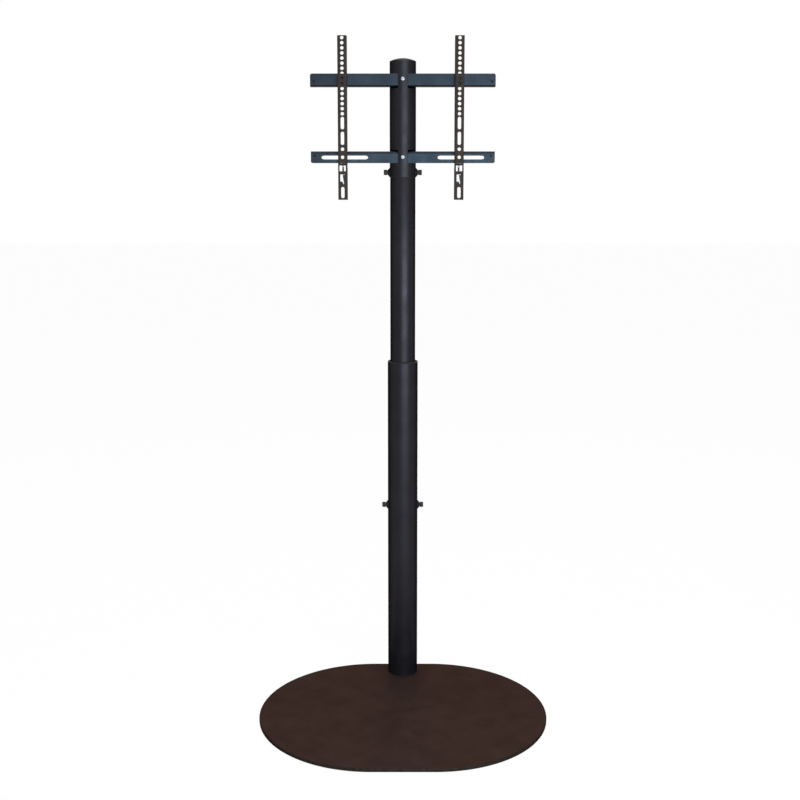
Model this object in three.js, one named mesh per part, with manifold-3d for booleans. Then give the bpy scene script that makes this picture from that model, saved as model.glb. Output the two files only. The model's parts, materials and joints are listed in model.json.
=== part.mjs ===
// A free-standing television stand: a heavy obround floor plate, a column of two sliding tubes,
// and a turning head whose two cross bars carry a pair of punched upright arms.
// Millimetres, +Z up, the viewer stands on the -Y side and +X is on the right.
// The origin is on the floor under the middle of the plate.

import * as THREE from "three";
import { mergeVertices } from "three/addons/utils/BufferGeometryUtils.js";
import Module from "manifold-3d";

const wasm = await Module();
wasm.setup();

// Shared fits and finenesses
const seatGap = 0.3;
const cutOverrun = 5;
const tubeSegments = 48;
const boltSegments = 20;
const holeSegments = 20;
const bendSegments = 4;

// Floor plate and the pads under it
const baseWidth = 730;
const baseDepth = 580;
const baseThickness = 8;
const baseEdgeBevel = 1;
const baseEndSegments = 22;
const padRadius = 13;
const padHeight = 2;
const padInset = 34;

// Fixing of the column's foot
const columnEdgeMargin = 2.5;
const footPlugThickness = 12;
const footPlugBoreRadius = 12;
const footBoltRadius = 4;
const footBoltHeadRadius = 8;
const footBoltHeadHeight = 4.2;
const footBoltReach = 9;
const footBoltCircleRadius = 25;
const footBoltCount = 4;

// Lower tube and the bush in its mouth
const lowerTubeRadius = 40;
const lowerTubeWall = 2;
const lowerTubeLength = 867;
const guideBushLip = 3;
const guideBushLipInset = 0.3;
const guideBushRound = 1.2;
const guideBushLength = 45;

// Upper tube and the bush round its foot
const upperTubeRadius = 33;
const upperTubeWall = 2;
const upperTubeExposed = 481;
const upperTubeInserted = 425;
const glideBushHeight = 20;
const glideBushFloor = 3;
const glideBushLedge = 3;

// Spigot on which the head turns, and the ring that carries it
const spigotInserted = 70;
const spigotRise = 31;
const spigotWall = 5;
const thrustRingThickness = 1.5;
const thrustRingOverhang = 0.4;

// Head tube and its cap
const headTubeRadius = 34;
const headTubeWall = 2;
const headTubeMargin = 32.5;
const headStripWidth = 25;
const capDomeHeight = 8.6;
const capRimHeight = 1;
const capRimInset = 0.4;
const capPlugDepth = 18;
const capWall = 2.5;
const capArcSteps = 6;

// Cross bars: folded sheet with one free edge
const barLength = 473;
const barSheet = 3;
const barBendRadius = 6;
const barDepth = 20;
const barCornerRadius = 5;
const barSlotClearance = 0.6;
const barSlotRelief = 3;
const barSpacing = 196;
const lowerScrewRise = 50.5;
const upperBarHeight = 32.5;
const upperScrewInset = 19;
const lowerBarHeight = 30;
const lowerScrewInset = 15;
const barSlotEndInset = 27.5;
const barSlotLength = 119.5;
const barSlotHeight = 9.4;
const barSlotInset = 14.2;

// Screws and nuts of the bars
const barScrewRadius = 3;
const barScrewHeadRadius = 4.8;
const barScrewHeadHeight = 2.6;
const barScrewTail = 1.5;
const barNutAcross = 10;
const barNutThickness = 5;
const stopScrewRadius = 1.9;
const stopScrewHeadRadius = 2.8;
const stopScrewHeadHeight = 1.8;
const stopScrewTail = 3;
const panShoulderShare = 1 / 3;
const panDriveShare = 1 / 2;
const stopScrewInset = 9.5;
const upperStopDrop = 6;
const lowerStopRise = 3.5;

// Clamp screws: a turned boss, a threaded stud and a small serrated knob
const lowerClampRise = 30;
const headClampRise = 12.5;
const clampStudRadius = 4;
const clampHoleRadius = 4.6;
const clampBossBaseRadius = 12;
const clampBossTopRadius = 7;
const clampBossHeight = 5.2;
const clampBossNeck = 1.2;
const clampKnobRadius = 7;
const clampKnobLength = 9.9;
const clampThreadShown = 0.5;
const clampKnobSerration = 0.45;
const clampKnobTeeth = 18;
const clampKnobBevel = 0.6;
const clampStudInKnob = 6;

// Upright arms: punched channels hooked over the upper bar
const leftArmInset = 82.5;
const rightArmInset = 92.5;
const armWidth = 23.5;
const armSheet = 2;
const armCornerRadius = 2.6;
const armReach = 18;
const armHookDepth = 8.2;
const armHookDrop = 9;
const armRise = 92;
const armDrop = 93.5;
const armLift = 12;
const armLeafClearance = 1.6;
const holeRadius = 4.3;
const holePitch = 12.5;
const firstHoleInset = 5.9;
const holeRowGap = 2.4;
const upperSlotRise = 70;
const upperSlotLength = 31;
const middleSlotRise = 31;
const middleSlotLength = 33;
const singleHoleRise = 20.2;
const footSlotInset = 4.4;
const footSlotLength = 28.2;

// Lock bolt, its guide and its window in each arm
const windowWidth = 16;
const windowDrop = 5;
const windowHeight = 16;
const lockBoltRadius = 2.5;
const lockBoltReach = 8;
const lockBoltTail = 2;
const lockTabHeight = 3;
const lockTabDrop = 24;
const lockTabMargin = 5;
const lockGuideHeight = 4.6;
const lockSlitWidthShare = 0.4;
const lockSlitDepthShare = 0.5;
const lockGuideGap = 1.2;
const guideHoleDrop = 2.4;

// Latch lever and its upright slot, with a slanted tail at the foot, in each arm
const leverSlotDrop = 29;
const leverSlotHeight = 18.2;
const leverSlotWidth = 11.5;
const leverSlotOffset = -0.5;
const leverTailHeight = 6.4;
const leverTailStart = -1.2;
const leverTailEnd = 2;
const leverSheet = 2.5;
const leverPlay = 0.6;
const leverPinOffset = 6.4;
const leverPinRadius = 1.5;
const leverPinHeadRadius = 2.7;
const leverPinHeadHeight = 1.2;
const leverEndRadius = 2.8;
const leverTopWidth = 6.8;
const leverTopOffset = 2.9;
const leverTopGap = 0.9;

// Places that follow from the sizes above
const plateTop = padHeight + baseThickness;
const columnY = baseDepth / 2 - columnEdgeMargin - lowerTubeRadius;
const lowerTubeInner = lowerTubeRadius - lowerTubeWall;
const upperTubeInner = upperTubeRadius - upperTubeWall;
const headTubeInner = headTubeRadius - headTubeWall;
const lowerTubeTop = plateTop + lowerTubeLength;
const mouthTop = lowerTubeTop + guideBushLip;
const upperTubeTop = mouthTop + upperTubeExposed;
const upperTubeFoot = mouthTop - upperTubeInserted;
const lowerClampZ = upperTubeFoot + lowerClampRise;
const headFoot = upperTubeTop + thrustRingThickness;
const spigotRadius = headTubeInner - seatGap;
const lowerScrewZ = headFoot + lowerScrewRise;
const upperScrewZ = lowerScrewZ + barSpacing;
const upperBarBottom = upperScrewZ - upperScrewInset;
const upperBarTop = upperBarBottom + upperBarHeight;
const headTop = upperBarTop + headTubeMargin;
const lowerBarBottom = lowerScrewZ - lowerScrewInset;
const lowerBarTop = lowerBarBottom + lowerBarHeight;
const barSlotZ = lowerBarBottom + barSlotInset;
const barSlotOuter = barLength / 2 - barSlotEndInset;
const barSlotInner = barSlotOuter - barSlotLength;
const leftArmPlace = leftArmInset - barLength / 2;
const rightArmPlace = barLength / 2 - rightArmInset;
const headClampZ = headFoot + headClampRise;

// The bars' faces run just behind the inner edges of the strip left in front of them.
const barFace = seatGap - Math.sqrt(headTubeInner ** 2 - (headStripWidth / 2) ** 2);
const barBack = barFace + barSheet;
const armTop = upperBarTop + armRise;
const armBottom = lowerBarBottom - armDrop;
const armFront = barFace - armReach;
const armInside = armFront + armSheet;
const armInnerWidth = armWidth - 2 * armSheet;
const lockBoltY = barBack + seatGap * 2 + lockBoltRadius;

// Solids: a closed three.js geometry becomes a solid that can be joined and cut.

function solidOf(geometry) {
  geometry.deleteAttribute("normal");
  geometry.deleteAttribute("uv");
  const merged = mergeVertices(geometry);
  const corners = merged.index.array;
  const kept = [];
  for (let i = 0; i < corners.length; i += 3) {
    const [a, b, c] = corners.subarray(i, i + 3);
    if (a !== b && b !== c && c !== a) kept.push(a, b, c);
  }
  return new wasm.Manifold(
    new wasm.Mesh({
      numProp: 3,
      vertProperties: merged.attributes.position.array,
      triVerts: new Uint32Array(kept),
    }),
  );
}

function geometryOf(solid) {
  const { vertProperties, triVerts } = solid.getMesh();
  const geometry = new THREE.BufferGeometry();
  geometry.setAttribute("position", new THREE.BufferAttribute(vertProperties, 3));
  geometry.setIndex(new THREE.BufferAttribute(triVerts, 1));
  geometry.computeVertexNormals();
  return geometry;
}

function piece(name, solid, material) {
  const mesh = new THREE.Mesh(geometryOf(solid), material());
  mesh.name = name;
  return mesh;
}

function groupOf(...members) {
  const group = new THREE.Group();
  group.add(...members);
  return group;
}

// A solid turned about Z from [radius, height] points, listed anticlockwise from the foot.
function turned(profile, segments = tubeSegments) {
  const points = profile.map(([radius, height]) => new THREE.Vector2(radius, height));
  return new THREE.LatheGeometry(points, segments).rotateX(Math.PI / 2);
}

function ringProfile(inner, outer, foot, top) {
  return [
    [inner, foot],
    [outer, foot],
    [outer, top],
    [inner, top],
    [inner, foot],
  ];
}

function tubeSolid(inner, outer, foot, top) {
  return solidOf(turned(ringProfile(inner, outer, foot, top)));
}

// A rod along "x", "y" or "z" from one end to the other, its axis through the point given.
function rod(axis, radius, from, to, { x = 0, y = 0, z = 0 } = {}, segments = boltSegments) {
  const geometry = new THREE.CylinderGeometry(radius, radius, to - from, segments);
  const middle = (from + to) / 2;
  if (axis === "x") geometry.rotateZ(-Math.PI / 2).translate(middle, y, z);
  if (axis === "y") geometry.translate(x, middle, z);
  if (axis === "z") geometry.rotateX(Math.PI / 2).translate(x, y, middle);
  return solidOf(geometry);
}

function block(x0, x1, y0, y1, z0, z1) {
  const geometry = new THREE.BoxGeometry(x1 - x0, y1 - y0, z1 - z0);
  return solidOf(geometry.translate((x0 + x1) / 2, (y0 + y1) / 2, (z0 + z1) / 2));
}

// An outline in [x, z] pushed along Y.
function pushedAlongY(shape, from, to, curveSegments = bendSegments) {
  const geometry = new THREE.ExtrudeGeometry(shape, {
    depth: to - from,
    bevelEnabled: false,
    curveSegments,
  });
  return solidOf(geometry.rotateX(Math.PI / 2).translate(0, to, 0));
}

// An outline in [y, z] pushed along X.
function pushedAlongX(shape, from, to, curveSegments = bendSegments) {
  const geometry = new THREE.ExtrudeGeometry(shape, {
    depth: to - from,
    bevelEnabled: false,
    curveSegments,
  });
  return solidOf(geometry.rotateX(Math.PI / 2).rotateZ(Math.PI / 2).translate(from, 0, 0));
}

function outline(points) {
  return new THREE.Shape(points.map(([across, up]) => new THREE.Vector2(across, up)));
}

// A long hole with round ends in the XZ plane, cut from the front.
function uprightSlot(radius, bottom, top, front, back) {
  const shape = new THREE.Shape();
  shape.absarc(0, top - radius, radius, 0, Math.PI);
  shape.absarc(0, bottom + radius, radius, Math.PI, 2 * Math.PI);
  shape.closePath();
  return pushedAlongY(shape, front, back, holeSegments / 4);
}

function levelSlot(radius, left, right, z, front, back) {
  const shape = new THREE.Shape();
  shape.absarc(right - radius, z, radius, -Math.PI / 2, Math.PI / 2);
  shape.absarc(left + radius, z, radius, Math.PI / 2, (3 * Math.PI) / 2);
  shape.closePath();
  return pushedAlongY(shape, front, back, holeSegments / 4);
}

// Finishes

const finish = (color, roughness, metalness) => () =>
  new THREE.MeshStandardMaterial({ color, roughness, metalness });
const platePowder = finish(0x3a2b26, 0.62, 0.1);
const tubePowder = finish(0x1d2024, 0.42, 0.2);
const barPowder = finish(0x3d464c, 0.5, 0.25);
const armPowder = finish(0x2c2624, 0.5, 0.25);
const padRubber = finish(0x18181a, 0.9, 0);
const blackNylon = finish(0x141416, 0.55, 0);
const knobPlastic = finish(0x232122, 0.38, 0);
const whiteZinc = finish(0xd9dde2, 0.28, 1);
const steel = finish(0x8b8f94, 0.4, 1);
const blackSteel = finish(0x1a1a1c, 0.5, 0.6);

// Floor plate

function obround(width, depth) {
  const radius = depth / 2;
  const straight = width / 2 - radius;
  const shape = new THREE.Shape();
  shape.absarc(straight, 0, radius, -Math.PI / 2, Math.PI / 2);
  shape.absarc(-straight, 0, radius, Math.PI / 2, (3 * Math.PI) / 2);
  shape.closePath();
  return shape;
}

function footBoltPlaces() {
  return Array.from({ length: footBoltCount }, (_, i) => {
    const angle = ((i + 1 / 2) * 2 * Math.PI) / footBoltCount;
    return {
      x: footBoltCircleRadius * Math.cos(angle),
      y: columnY + footBoltCircleRadius * Math.sin(angle),
    };
  });
}

function basePlate() {
  const flat = obround(baseWidth - 2 * baseEdgeBevel, baseDepth - 2 * baseEdgeBevel);
  const plate = new THREE.ExtrudeGeometry(flat, {
    depth: baseThickness - 2 * baseEdgeBevel,
    bevelEnabled: true,
    bevelThickness: baseEdgeBevel,
    bevelSize: baseEdgeBevel,
    bevelSegments: 1,
    curveSegments: baseEndSegments,
  });
  let solid = solidOf(plate.translate(0, 0, padHeight + baseEdgeBevel));
  for (const place of footBoltPlaces()) {
    const shaft = rod("z", footBoltRadius + 2 * seatGap, 0, plateTop + cutOverrun, place);
    const sink = countersunk(seatGap, padHeight - cutOverrun).translate([place.x, place.y, 0]);
    solid = solid.subtract(shaft).subtract(sink);
  }
  return piece("base_plate", solid, platePowder);
}

// The cone of a countersunk head, grown by a gap and run down to the level given.
function countersunk(gap, bottom) {
  const foot = padHeight + seatGap;
  return solidOf(
    turned(
      [
        [0, bottom],
        [footBoltHeadRadius + gap, bottom],
        [footBoltHeadRadius + gap, foot],
        [footBoltRadius + gap, foot + footBoltHeadHeight],
        [0, foot + footBoltHeadHeight],
      ],
      boltSegments,
    ),
  );
}

function footBolt(name, place) {
  const foot = padHeight + seatGap;
  const shank = rod("z", footBoltRadius, foot + seatGap, plateTop + footBoltReach);
  const key = rod("z", footBoltRadius / 2, foot - cutOverrun, foot + footBoltHeadHeight / 2, {}, 6);
  const mesh = piece(name, countersunk(0, foot).add(shank).subtract(key), blackSteel);
  mesh.position.set(place.x, place.y, 0);
  return mesh;
}

function basePads() {
  const straight = (baseWidth - baseDepth) / 2;
  const side = baseDepth / 2 - padInset;
  const places = [
    [-straight, -side],
    [straight, -side],
    [-straight, side],
    [straight, side],
    [-straight - side, 0],
    [straight + side, 0],
  ];
  return places.map(([x, y], i) => {
    const pad = piece(`base_pad_${i + 1}`, rod("z", padRadius, 0, padHeight), padRubber);
    pad.position.set(x, y, 0);
    return pad;
  });
}

// Column: these pieces stand in a group whose origin is on the column's axis.

function footPlug() {
  const radius = lowerTubeInner - seatGap;
  let solid = tubeSolid(footPlugBoreRadius, radius, plateTop, plateTop + footPlugThickness);
  for (const { x, y } of footBoltPlaces()) {
    const place = { x, y: y - columnY };
    const top = plateTop + footPlugThickness + cutOverrun;
    solid = solid.subtract(rod("z", footBoltRadius + seatGap, plateTop - cutOverrun, top, place));
  }
  return piece("foot_plug", solid, steel);
}

function lowerTube() {
  const reach = lowerTubeRadius + cutOverrun;
  const solid = tubeSolid(lowerTubeInner, lowerTubeRadius, plateTop, lowerTubeTop).subtract(
    rod("x", clampHoleRadius, -reach, reach, { z: lowerClampZ }),
  );
  return piece("lower_tube", solid, tubePowder);
}

function guideBush() {
  const inner = upperTubeRadius + seatGap;
  const outer = lowerTubeInner - seatGap;
  const lip = lowerTubeRadius - guideBushLipInset;
  const solid = solidOf(
    turned([
      [inner, lowerTubeTop - guideBushLength],
      [outer, lowerTubeTop - guideBushLength],
      [outer, lowerTubeTop],
      [lip, lowerTubeTop],
      [lip, mouthTop - guideBushRound],
      [lip - guideBushRound, mouthTop],
      [inner + guideBushRound, mouthTop],
      [inner, mouthTop - guideBushRound],
      [inner, lowerTubeTop - guideBushLength],
    ]),
  );
  return piece("guide_bush", solid, blackNylon);
}

function upperTube() {
  const solid = tubeSolid(upperTubeInner, upperTubeRadius, upperTubeFoot, upperTubeTop);
  return piece("upper_tube", solid, tubePowder);
}

function glideBush() {
  const outer = lowerTubeInner - seatGap;
  const sleeve = upperTubeRadius + seatGap;
  const ledge = upperTubeRadius - glideBushLedge;
  const foot = upperTubeFoot - glideBushFloor;
  const solid = solidOf(
    turned([
      [ledge, foot],
      [outer, foot],
      [outer, upperTubeFoot + glideBushHeight],
      [sleeve, upperTubeFoot + glideBushHeight],
      [sleeve, upperTubeFoot],
      [ledge, upperTubeFoot],
      [ledge, foot],
    ]),
  );
  return piece("glide_bush", solid, blackNylon);
}

function spigot() {
  const lower = upperTubeInner - seatGap;
  const bore = lower - spigotWall;
  const solid = solidOf(
    turned([
      [bore, upperTubeTop - spigotInserted],
      [lower, upperTubeTop - spigotInserted],
      [lower, upperTubeTop],
      [spigotRadius, upperTubeTop],
      [spigotRadius, upperTubeTop + spigotRise],
      [bore, upperTubeTop + spigotRise],
      [bore, upperTubeTop - spigotInserted],
    ]),
  );
  return piece("spigot", solid, steel);
}

function thrustRing() {
  const inner = spigotRadius + seatGap;
  const outer = upperTubeRadius + thrustRingOverhang;
  return piece("thrust_ring", tubeSolid(inner, outer, upperTubeTop, headFoot), blackNylon);
}

// Clamp screws: each is drawn along +X from the column's axis.

function clampBoss(name, tubeRadius) {
  const start = tubeRadius / 2;
  const top = tubeRadius + clampBossHeight;
  const hole = clampStudRadius + seatGap;
  const body = turned(
    [
      [hole, start],
      [clampBossBaseRadius, start],
      [clampBossBaseRadius, tubeRadius - clampBossNeck],
      [clampBossTopRadius, top - clampBossNeck],
      [clampBossTopRadius, top],
      [hole, top],
      [hole, start],
    ],
    boltSegments,
  ).rotateY(Math.PI / 2);
  const reach = clampBossBaseRadius + cutOverrun;
  const tubeSpace = rod("z", tubeRadius + seatGap, -reach, reach, {}, tubeSegments);
  return piece(name, solidOf(body).subtract(tubeSpace), tubePowder);
}

function clampStud(name, tubeRadius, innerRadius) {
  const tip = innerRadius + seatGap;
  const end = tubeRadius + clampBossHeight + clampThreadShown + clampStudInKnob;
  return piece(name, rod("x", clampStudRadius, tip, end), steel);
}

function serratedOutline(radius, depth, teeth) {
  const points = [];
  for (let i = 0; i < 2 * teeth; i += 1) {
    const angle = (i * Math.PI) / teeth;
    const reach = i % 2 ? radius - depth : radius;
    points.push([reach * Math.cos(angle), reach * Math.sin(angle)]);
  }
  return outline(points);
}

function clampKnob(name, tubeRadius) {
  const foot = tubeRadius + clampBossHeight + clampThreadShown;
  const core = clampKnobRadius - clampKnobBevel;
  const grip = new THREE.ExtrudeGeometry(
    serratedOutline(core, clampKnobSerration, clampKnobTeeth),
    {
      depth: clampKnobLength - 2 * clampKnobBevel,
      bevelEnabled: true,
      bevelThickness: clampKnobBevel,
      bevelSize: clampKnobBevel,
      bevelSegments: 1,
    },
  );
  grip.rotateY(Math.PI / 2).translate(foot + clampKnobBevel, 0, 0);
  const bore = rod(
    "x",
    clampStudRadius + seatGap,
    foot - cutOverrun,
    foot + clampStudInKnob + seatGap,
  );
  return piece(name, solidOf(grip).subtract(bore), knobPlastic);
}

function clampPair(place, tubeRadius, innerRadius, z) {
  const right = groupOf(
    clampBoss(`${place}_right_boss`, tubeRadius),
    clampStud(`${place}_right_stud`, tubeRadius, innerRadius),
    clampKnob(`${place}_right_knob`, tubeRadius),
  );
  const left = groupOf(
    clampBoss(`${place}_left_boss`, tubeRadius),
    clampStud(`${place}_left_stud`, tubeRadius, innerRadius),
    clampKnob(`${place}_left_knob`, tubeRadius),
  );
  left.rotation.z = Math.PI;
  const pair = groupOf(left, right);
  pair.position.z = z;
  return pair;
}

// Cross bars

// The bar's section in [y, z]: an upright face with one free edge, folded back at the other end.
// foldUp is 1 where the fold is at the top and -1 where it is at the bottom.
function barSection(freeEdge, foldEdge, foldUp, grow = 0, relief = 0) {
  const face = barFace - grow;
  const inside = barBack + grow;
  const back = barFace + barDepth + grow;
  const free = freeEdge - foldUp * grow;
  const fold = foldEdge + foldUp * (grow + relief);
  const leaf = foldEdge - foldUp * (barSheet + grow);
  const outer = barBendRadius;
  const inner = barBendRadius - barSheet;
  const shape = new THREE.Shape();
  shape.moveTo(face, free);
  shape.lineTo(face, fold - foldUp * outer);
  shape.quadraticCurveTo(face, fold, face + outer, fold);
  shape.lineTo(back, fold);
  shape.lineTo(back, leaf);
  shape.lineTo(inside + inner, leaf);
  shape.quadraticCurveTo(inside, leaf, inside, leaf - foldUp * inner);
  shape.lineTo(inside, free);
  shape.closePath();
  return shape;
}

// What is left over when the corner of the free edge is rounded.
function barCorner(side, freeEdge, foldUp) {
  const end = (side * barLength) / 2;
  const centre = end - side * barCornerRadius;
  const level = freeEdge + foldUp * barCornerRadius;
  const front = barFace - cutOverrun;
  const back = barBack + cutOverrun;
  const outerX = end + side * cutOverrun;
  const outerZ = freeEdge - foldUp * cutOverrun;
  const square = block(
    Math.min(centre, outerX),
    Math.max(centre, outerX),
    front,
    back,
    Math.min(level, outerZ),
    Math.max(level, outerZ),
  );
  return square.subtract(rod("y", barCornerRadius, front, back, { x: centre, z: level }));
}

function stopPlaces() {
  const x = barLength / 2 - stopScrewInset;
  return [
    ["upper_left_stop_screw", -x, upperScrewZ - upperStopDrop],
    ["upper_right_stop_screw", x, upperScrewZ - upperStopDrop],
    ["lower_left_stop_screw", -x, lowerScrewZ + lowerStopRise],
    ["lower_right_stop_screw", x, lowerScrewZ + lowerStopRise],
  ];
}

function foldedBar(freeEdge, foldEdge, foldUp, screwZ) {
  const section = barSection(freeEdge, foldEdge, foldUp);
  const front = barFace - cutOverrun;
  const back = barBack + cutOverrun;
  let solid = pushedAlongX(section, -barLength / 2, barLength / 2);
  solid = solid.subtract(barCorner(-1, freeEdge, foldUp)).subtract(barCorner(1, freeEdge, foldUp));
  solid = solid.subtract(rod("y", barScrewRadius + seatGap, front, back, { z: screwZ }));
  for (const [, x, z] of stopPlaces())
    if (Math.abs(z - screwZ) < barSpacing / 2)
      solid = solid.subtract(rod("y", stopScrewRadius + seatGap, front, back, { x, z }));
  return solid;
}

function upperBar() {
  return piece("upper_bar", foldedBar(upperBarTop, upperBarBottom, -1, upperScrewZ), barPowder);
}

function lowerBar() {
  let solid = foldedBar(lowerBarBottom, lowerBarTop, 1, lowerScrewZ);
  const front = barFace - cutOverrun;
  const back = barBack + cutOverrun;
  for (const [left, right] of [
    [-barSlotOuter, -barSlotInner],
    [barSlotInner, barSlotOuter],
  ])
    solid = solid.subtract(levelSlot(barSlotHeight / 2, left, right, barSlotZ, front, back));
  return piece("lower_bar", solid, barPowder);
}

function headTube() {
  let solid = tubeSolid(headTubeInner, headTubeRadius, headFoot, headTop);
  const sideways = headTubeRadius + cutOverrun;
  const openings = [
    barSection(upperBarTop, upperBarBottom, -1, barSlotClearance, barSlotRelief),
    barSection(lowerBarBottom, lowerBarTop, 1, barSlotClearance, barSlotRelief),
  ];
  for (const opening of openings)
    for (const [from, to] of [
      [-sideways, -headStripWidth / 2],
      [headStripWidth / 2, sideways],
    ])
      solid = solid.subtract(pushedAlongX(opening, from, to));
  const spans = [
    [upperBarBottom, upperBarTop],
    [lowerBarBottom, lowerBarTop],
  ];
  for (const [bottom, top] of spans)
    for (const [from, to] of [
      [-sideways, -headStripWidth / 2],
      [headStripWidth / 2, sideways],
    ]) {
      const below = bottom - barSlotClearance;
      const above = top + barSlotClearance;
      solid = solid.subtract(block(from, to, -sideways, barFace, below, above));
    }
  for (const z of [upperScrewZ, lowerScrewZ])
    solid = solid.subtract(rod("y", barScrewRadius + 2 * seatGap, -sideways, 0, { z }));
  solid = solid.subtract(rod("x", clampHoleRadius, -sideways, sideways, { z: headClampZ }));
  return piece("head_tube", solid, tubePowder);
}

function headCap() {
  const rim = headTubeRadius - capRimInset;
  const plug = headTubeInner - seatGap;
  const profile = [
    [0, headTop - capWall],
    [plug - capWall, headTop - capWall],
    [plug - capWall, headTop - capPlugDepth],
    [plug, headTop - capPlugDepth],
    [plug, headTop],
    [rim, headTop],
  ];
  for (let i = 0; i <= capArcSteps; i += 1) {
    const share = 1 - i / capArcSteps;
    const rise = (capDomeHeight - capRimHeight) * (1 - share ** 2);
    profile.push([rim * share, headTop + capRimHeight + rise]);
  }
  return piece("head_cap", solidOf(turned(profile)), blackNylon);
}

// Screws: drawn with the seat of the head at the origin, the shank along +Y.

function panScrew(name, radius, headRadius, headHeight, length, material) {
  const shoulder = headHeight * panShoulderShare;
  const head = turned(
    [
      [0, -length],
      [radius, -length],
      [radius, 0],
      [headRadius, 0],
      [headRadius, shoulder],
      [headRadius - shoulder, headHeight],
      [0, headHeight],
    ],
    boltSegments,
  ).rotateX(Math.PI / 2);
  const drive = rod(
    "y",
    radius * panDriveShare,
    -headHeight - cutOverrun,
    -headHeight * panDriveShare,
    {},
    6,
  );
  return piece(name, solidOf(head).subtract(drive), material);
}

function barScrew(name, z) {
  const seat = -headTubeRadius;
  const length = barBack + barNutThickness + barScrewTail - seat;
  const screw = panScrew(
    name,
    barScrewRadius,
    barScrewHeadRadius,
    barScrewHeadHeight,
    length,
    whiteZinc,
  );
  screw.position.set(0, seat, z);
  return screw;
}

function barNut(name, z) {
  const radius = barNutAcross / 2 / Math.cos(Math.PI / 6);
  const body = rod("y", radius, barBack, barBack + barNutThickness, {}, 6);
  const bore = rod("y", barScrewRadius + seatGap / 2, barBack - cutOverrun, cutOverrun);
  const nut = piece(name, body.subtract(bore), whiteZinc);
  nut.position.z = z;
  return nut;
}

function stopScrews() {
  return stopPlaces().map(([name, x, z]) => {
    const length = barSheet + stopScrewTail;
    const screw = panScrew(
      name,
      stopScrewRadius,
      stopScrewHeadRadius,
      stopScrewHeadHeight,
      length,
      blackSteel,
    );
    screw.position.set(x, barFace, z);
    return screw;
  });
}

// Arms: drawn about their own centre line, then slid along the bars.

function armSection() {
  const half = armWidth / 2;
  const back = barFace + armHookDepth;
  const inner = half - armSheet;
  const bend = armCornerRadius;
  const innerBend = armCornerRadius - armSheet;
  const shape = new THREE.Shape();
  shape.moveTo(-half, back);
  shape.lineTo(-half, armFront + bend);
  shape.quadraticCurveTo(-half, armFront, -half + bend, armFront);
  shape.lineTo(half - bend, armFront);
  shape.quadraticCurveTo(half, armFront, half, armFront + bend);
  shape.lineTo(half, back);
  shape.lineTo(inner, back);
  shape.lineTo(inner, armInside + innerBend);
  shape.lineTo(inner - innerBend, armInside);
  shape.lineTo(-inner + innerBend, armInside);
  shape.lineTo(-inner, armInside + innerBend);
  shape.lineTo(-inner, back);
  shape.closePath();
  return shape;
}

function armChannel() {
  const geometry = new THREE.ExtrudeGeometry(armSection(), {
    depth: armTop - armBottom,
    bevelEnabled: false,
    curveSegments: bendSegments,
  });
  return solidOf(geometry.translate(0, 0, armBottom));
}

// The space the bars need behind the arm: a hooked one above, an open one below.
function armNotches() {
  const front = barFace - seatGap;
  const lip = barBack + seatGap;
  const back = barFace + armHookDepth + cutOverrun;
  const hook = outline([
    [front, upperBarBottom - armLeafClearance],
    [back, upperBarBottom - armLeafClearance],
    [back, upperBarTop - armHookDrop],
    [lip, upperBarTop - armHookDrop],
    [lip, upperBarTop + seatGap],
    [front, upperBarTop + seatGap],
  ]);
  const open = outline([
    [front, lowerBarBottom - armLift],
    [back, lowerBarBottom - armLift],
    [back, lowerBarTop + armLeafClearance],
    [front, lowerBarTop + armLeafClearance],
  ]);
  return pushedAlongX(hook, -armWidth, armWidth).add(pushedAlongX(open, -armWidth, armWidth));
}

function holeHeights() {
  const slotTop = barSlotZ + upperSlotRise + upperSlotLength;
  const room = armTop - firstHoleInset - (slotTop + holeRowGap + holeRadius);
  const count = Math.floor(room / holePitch) + 1;
  const row = Array.from({ length: count }, (_, i) => armTop - firstHoleInset - i * holePitch);
  return [...row, barSlotZ + singleHoleRise, barSlotZ, lowerBarBottom - guideHoleDrop];
}

function leverSlot(front, back) {
  const top = lowerBarBottom - leverSlotDrop;
  const shoulder = top - leverSlotHeight;
  const foot = shoulder - leverTailHeight;
  const left = leverSlotOffset - leverSlotWidth / 2;
  const right = leverSlotOffset + leverSlotWidth / 2;
  const shape = outline([
    [left, shoulder],
    [leverTailStart, shoulder],
    [leverTailEnd, foot],
    [right, foot],
    [right, top],
    [left, top],
  ]);
  return pushedAlongY(shape, front, back);
}

function armSolid() {
  const front = armFront - cutOverrun;
  const back = armInside + seatGap;
  let solid = armChannel().subtract(armNotches());
  for (const z of holeHeights())
    solid = solid.subtract(rod("y", holeRadius, front, back, { z }, holeSegments));
  const slots = [
    [barSlotZ + upperSlotRise, upperSlotLength],
    [barSlotZ + middleSlotRise, middleSlotLength],
    [armBottom + footSlotInset, footSlotLength],
  ];
  for (const [bottom, length] of slots)
    solid = solid.subtract(uprightSlot(holeRadius, bottom, bottom + length, front, back));
  const half = windowWidth / 2;
  const windowTop = lowerBarBottom - windowDrop;
  const window = block(-half, half, front, back, windowTop - windowHeight, windowTop);
  return solid.subtract(window).subtract(leverSlot(front, back)).add(lockTab());
}

// The threaded tab bent back from the web under the window.
function lockTab() {
  const half = armInnerWidth / 2 + armSheet / 2;
  const top = lowerBarBottom - lockTabDrop;
  const back = lockBoltY + lockBoltRadius + lockTabMargin;
  const tab = block(-half, half, armInside - armSheet / 2, back, top - lockTabHeight, top);
  const bore = rod(
    "z",
    lockBoltRadius + seatGap,
    top - lockTabHeight - cutOverrun,
    top + cutOverrun,
    { y: lockBoltY },
  );
  return tab.subtract(bore);
}

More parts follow.
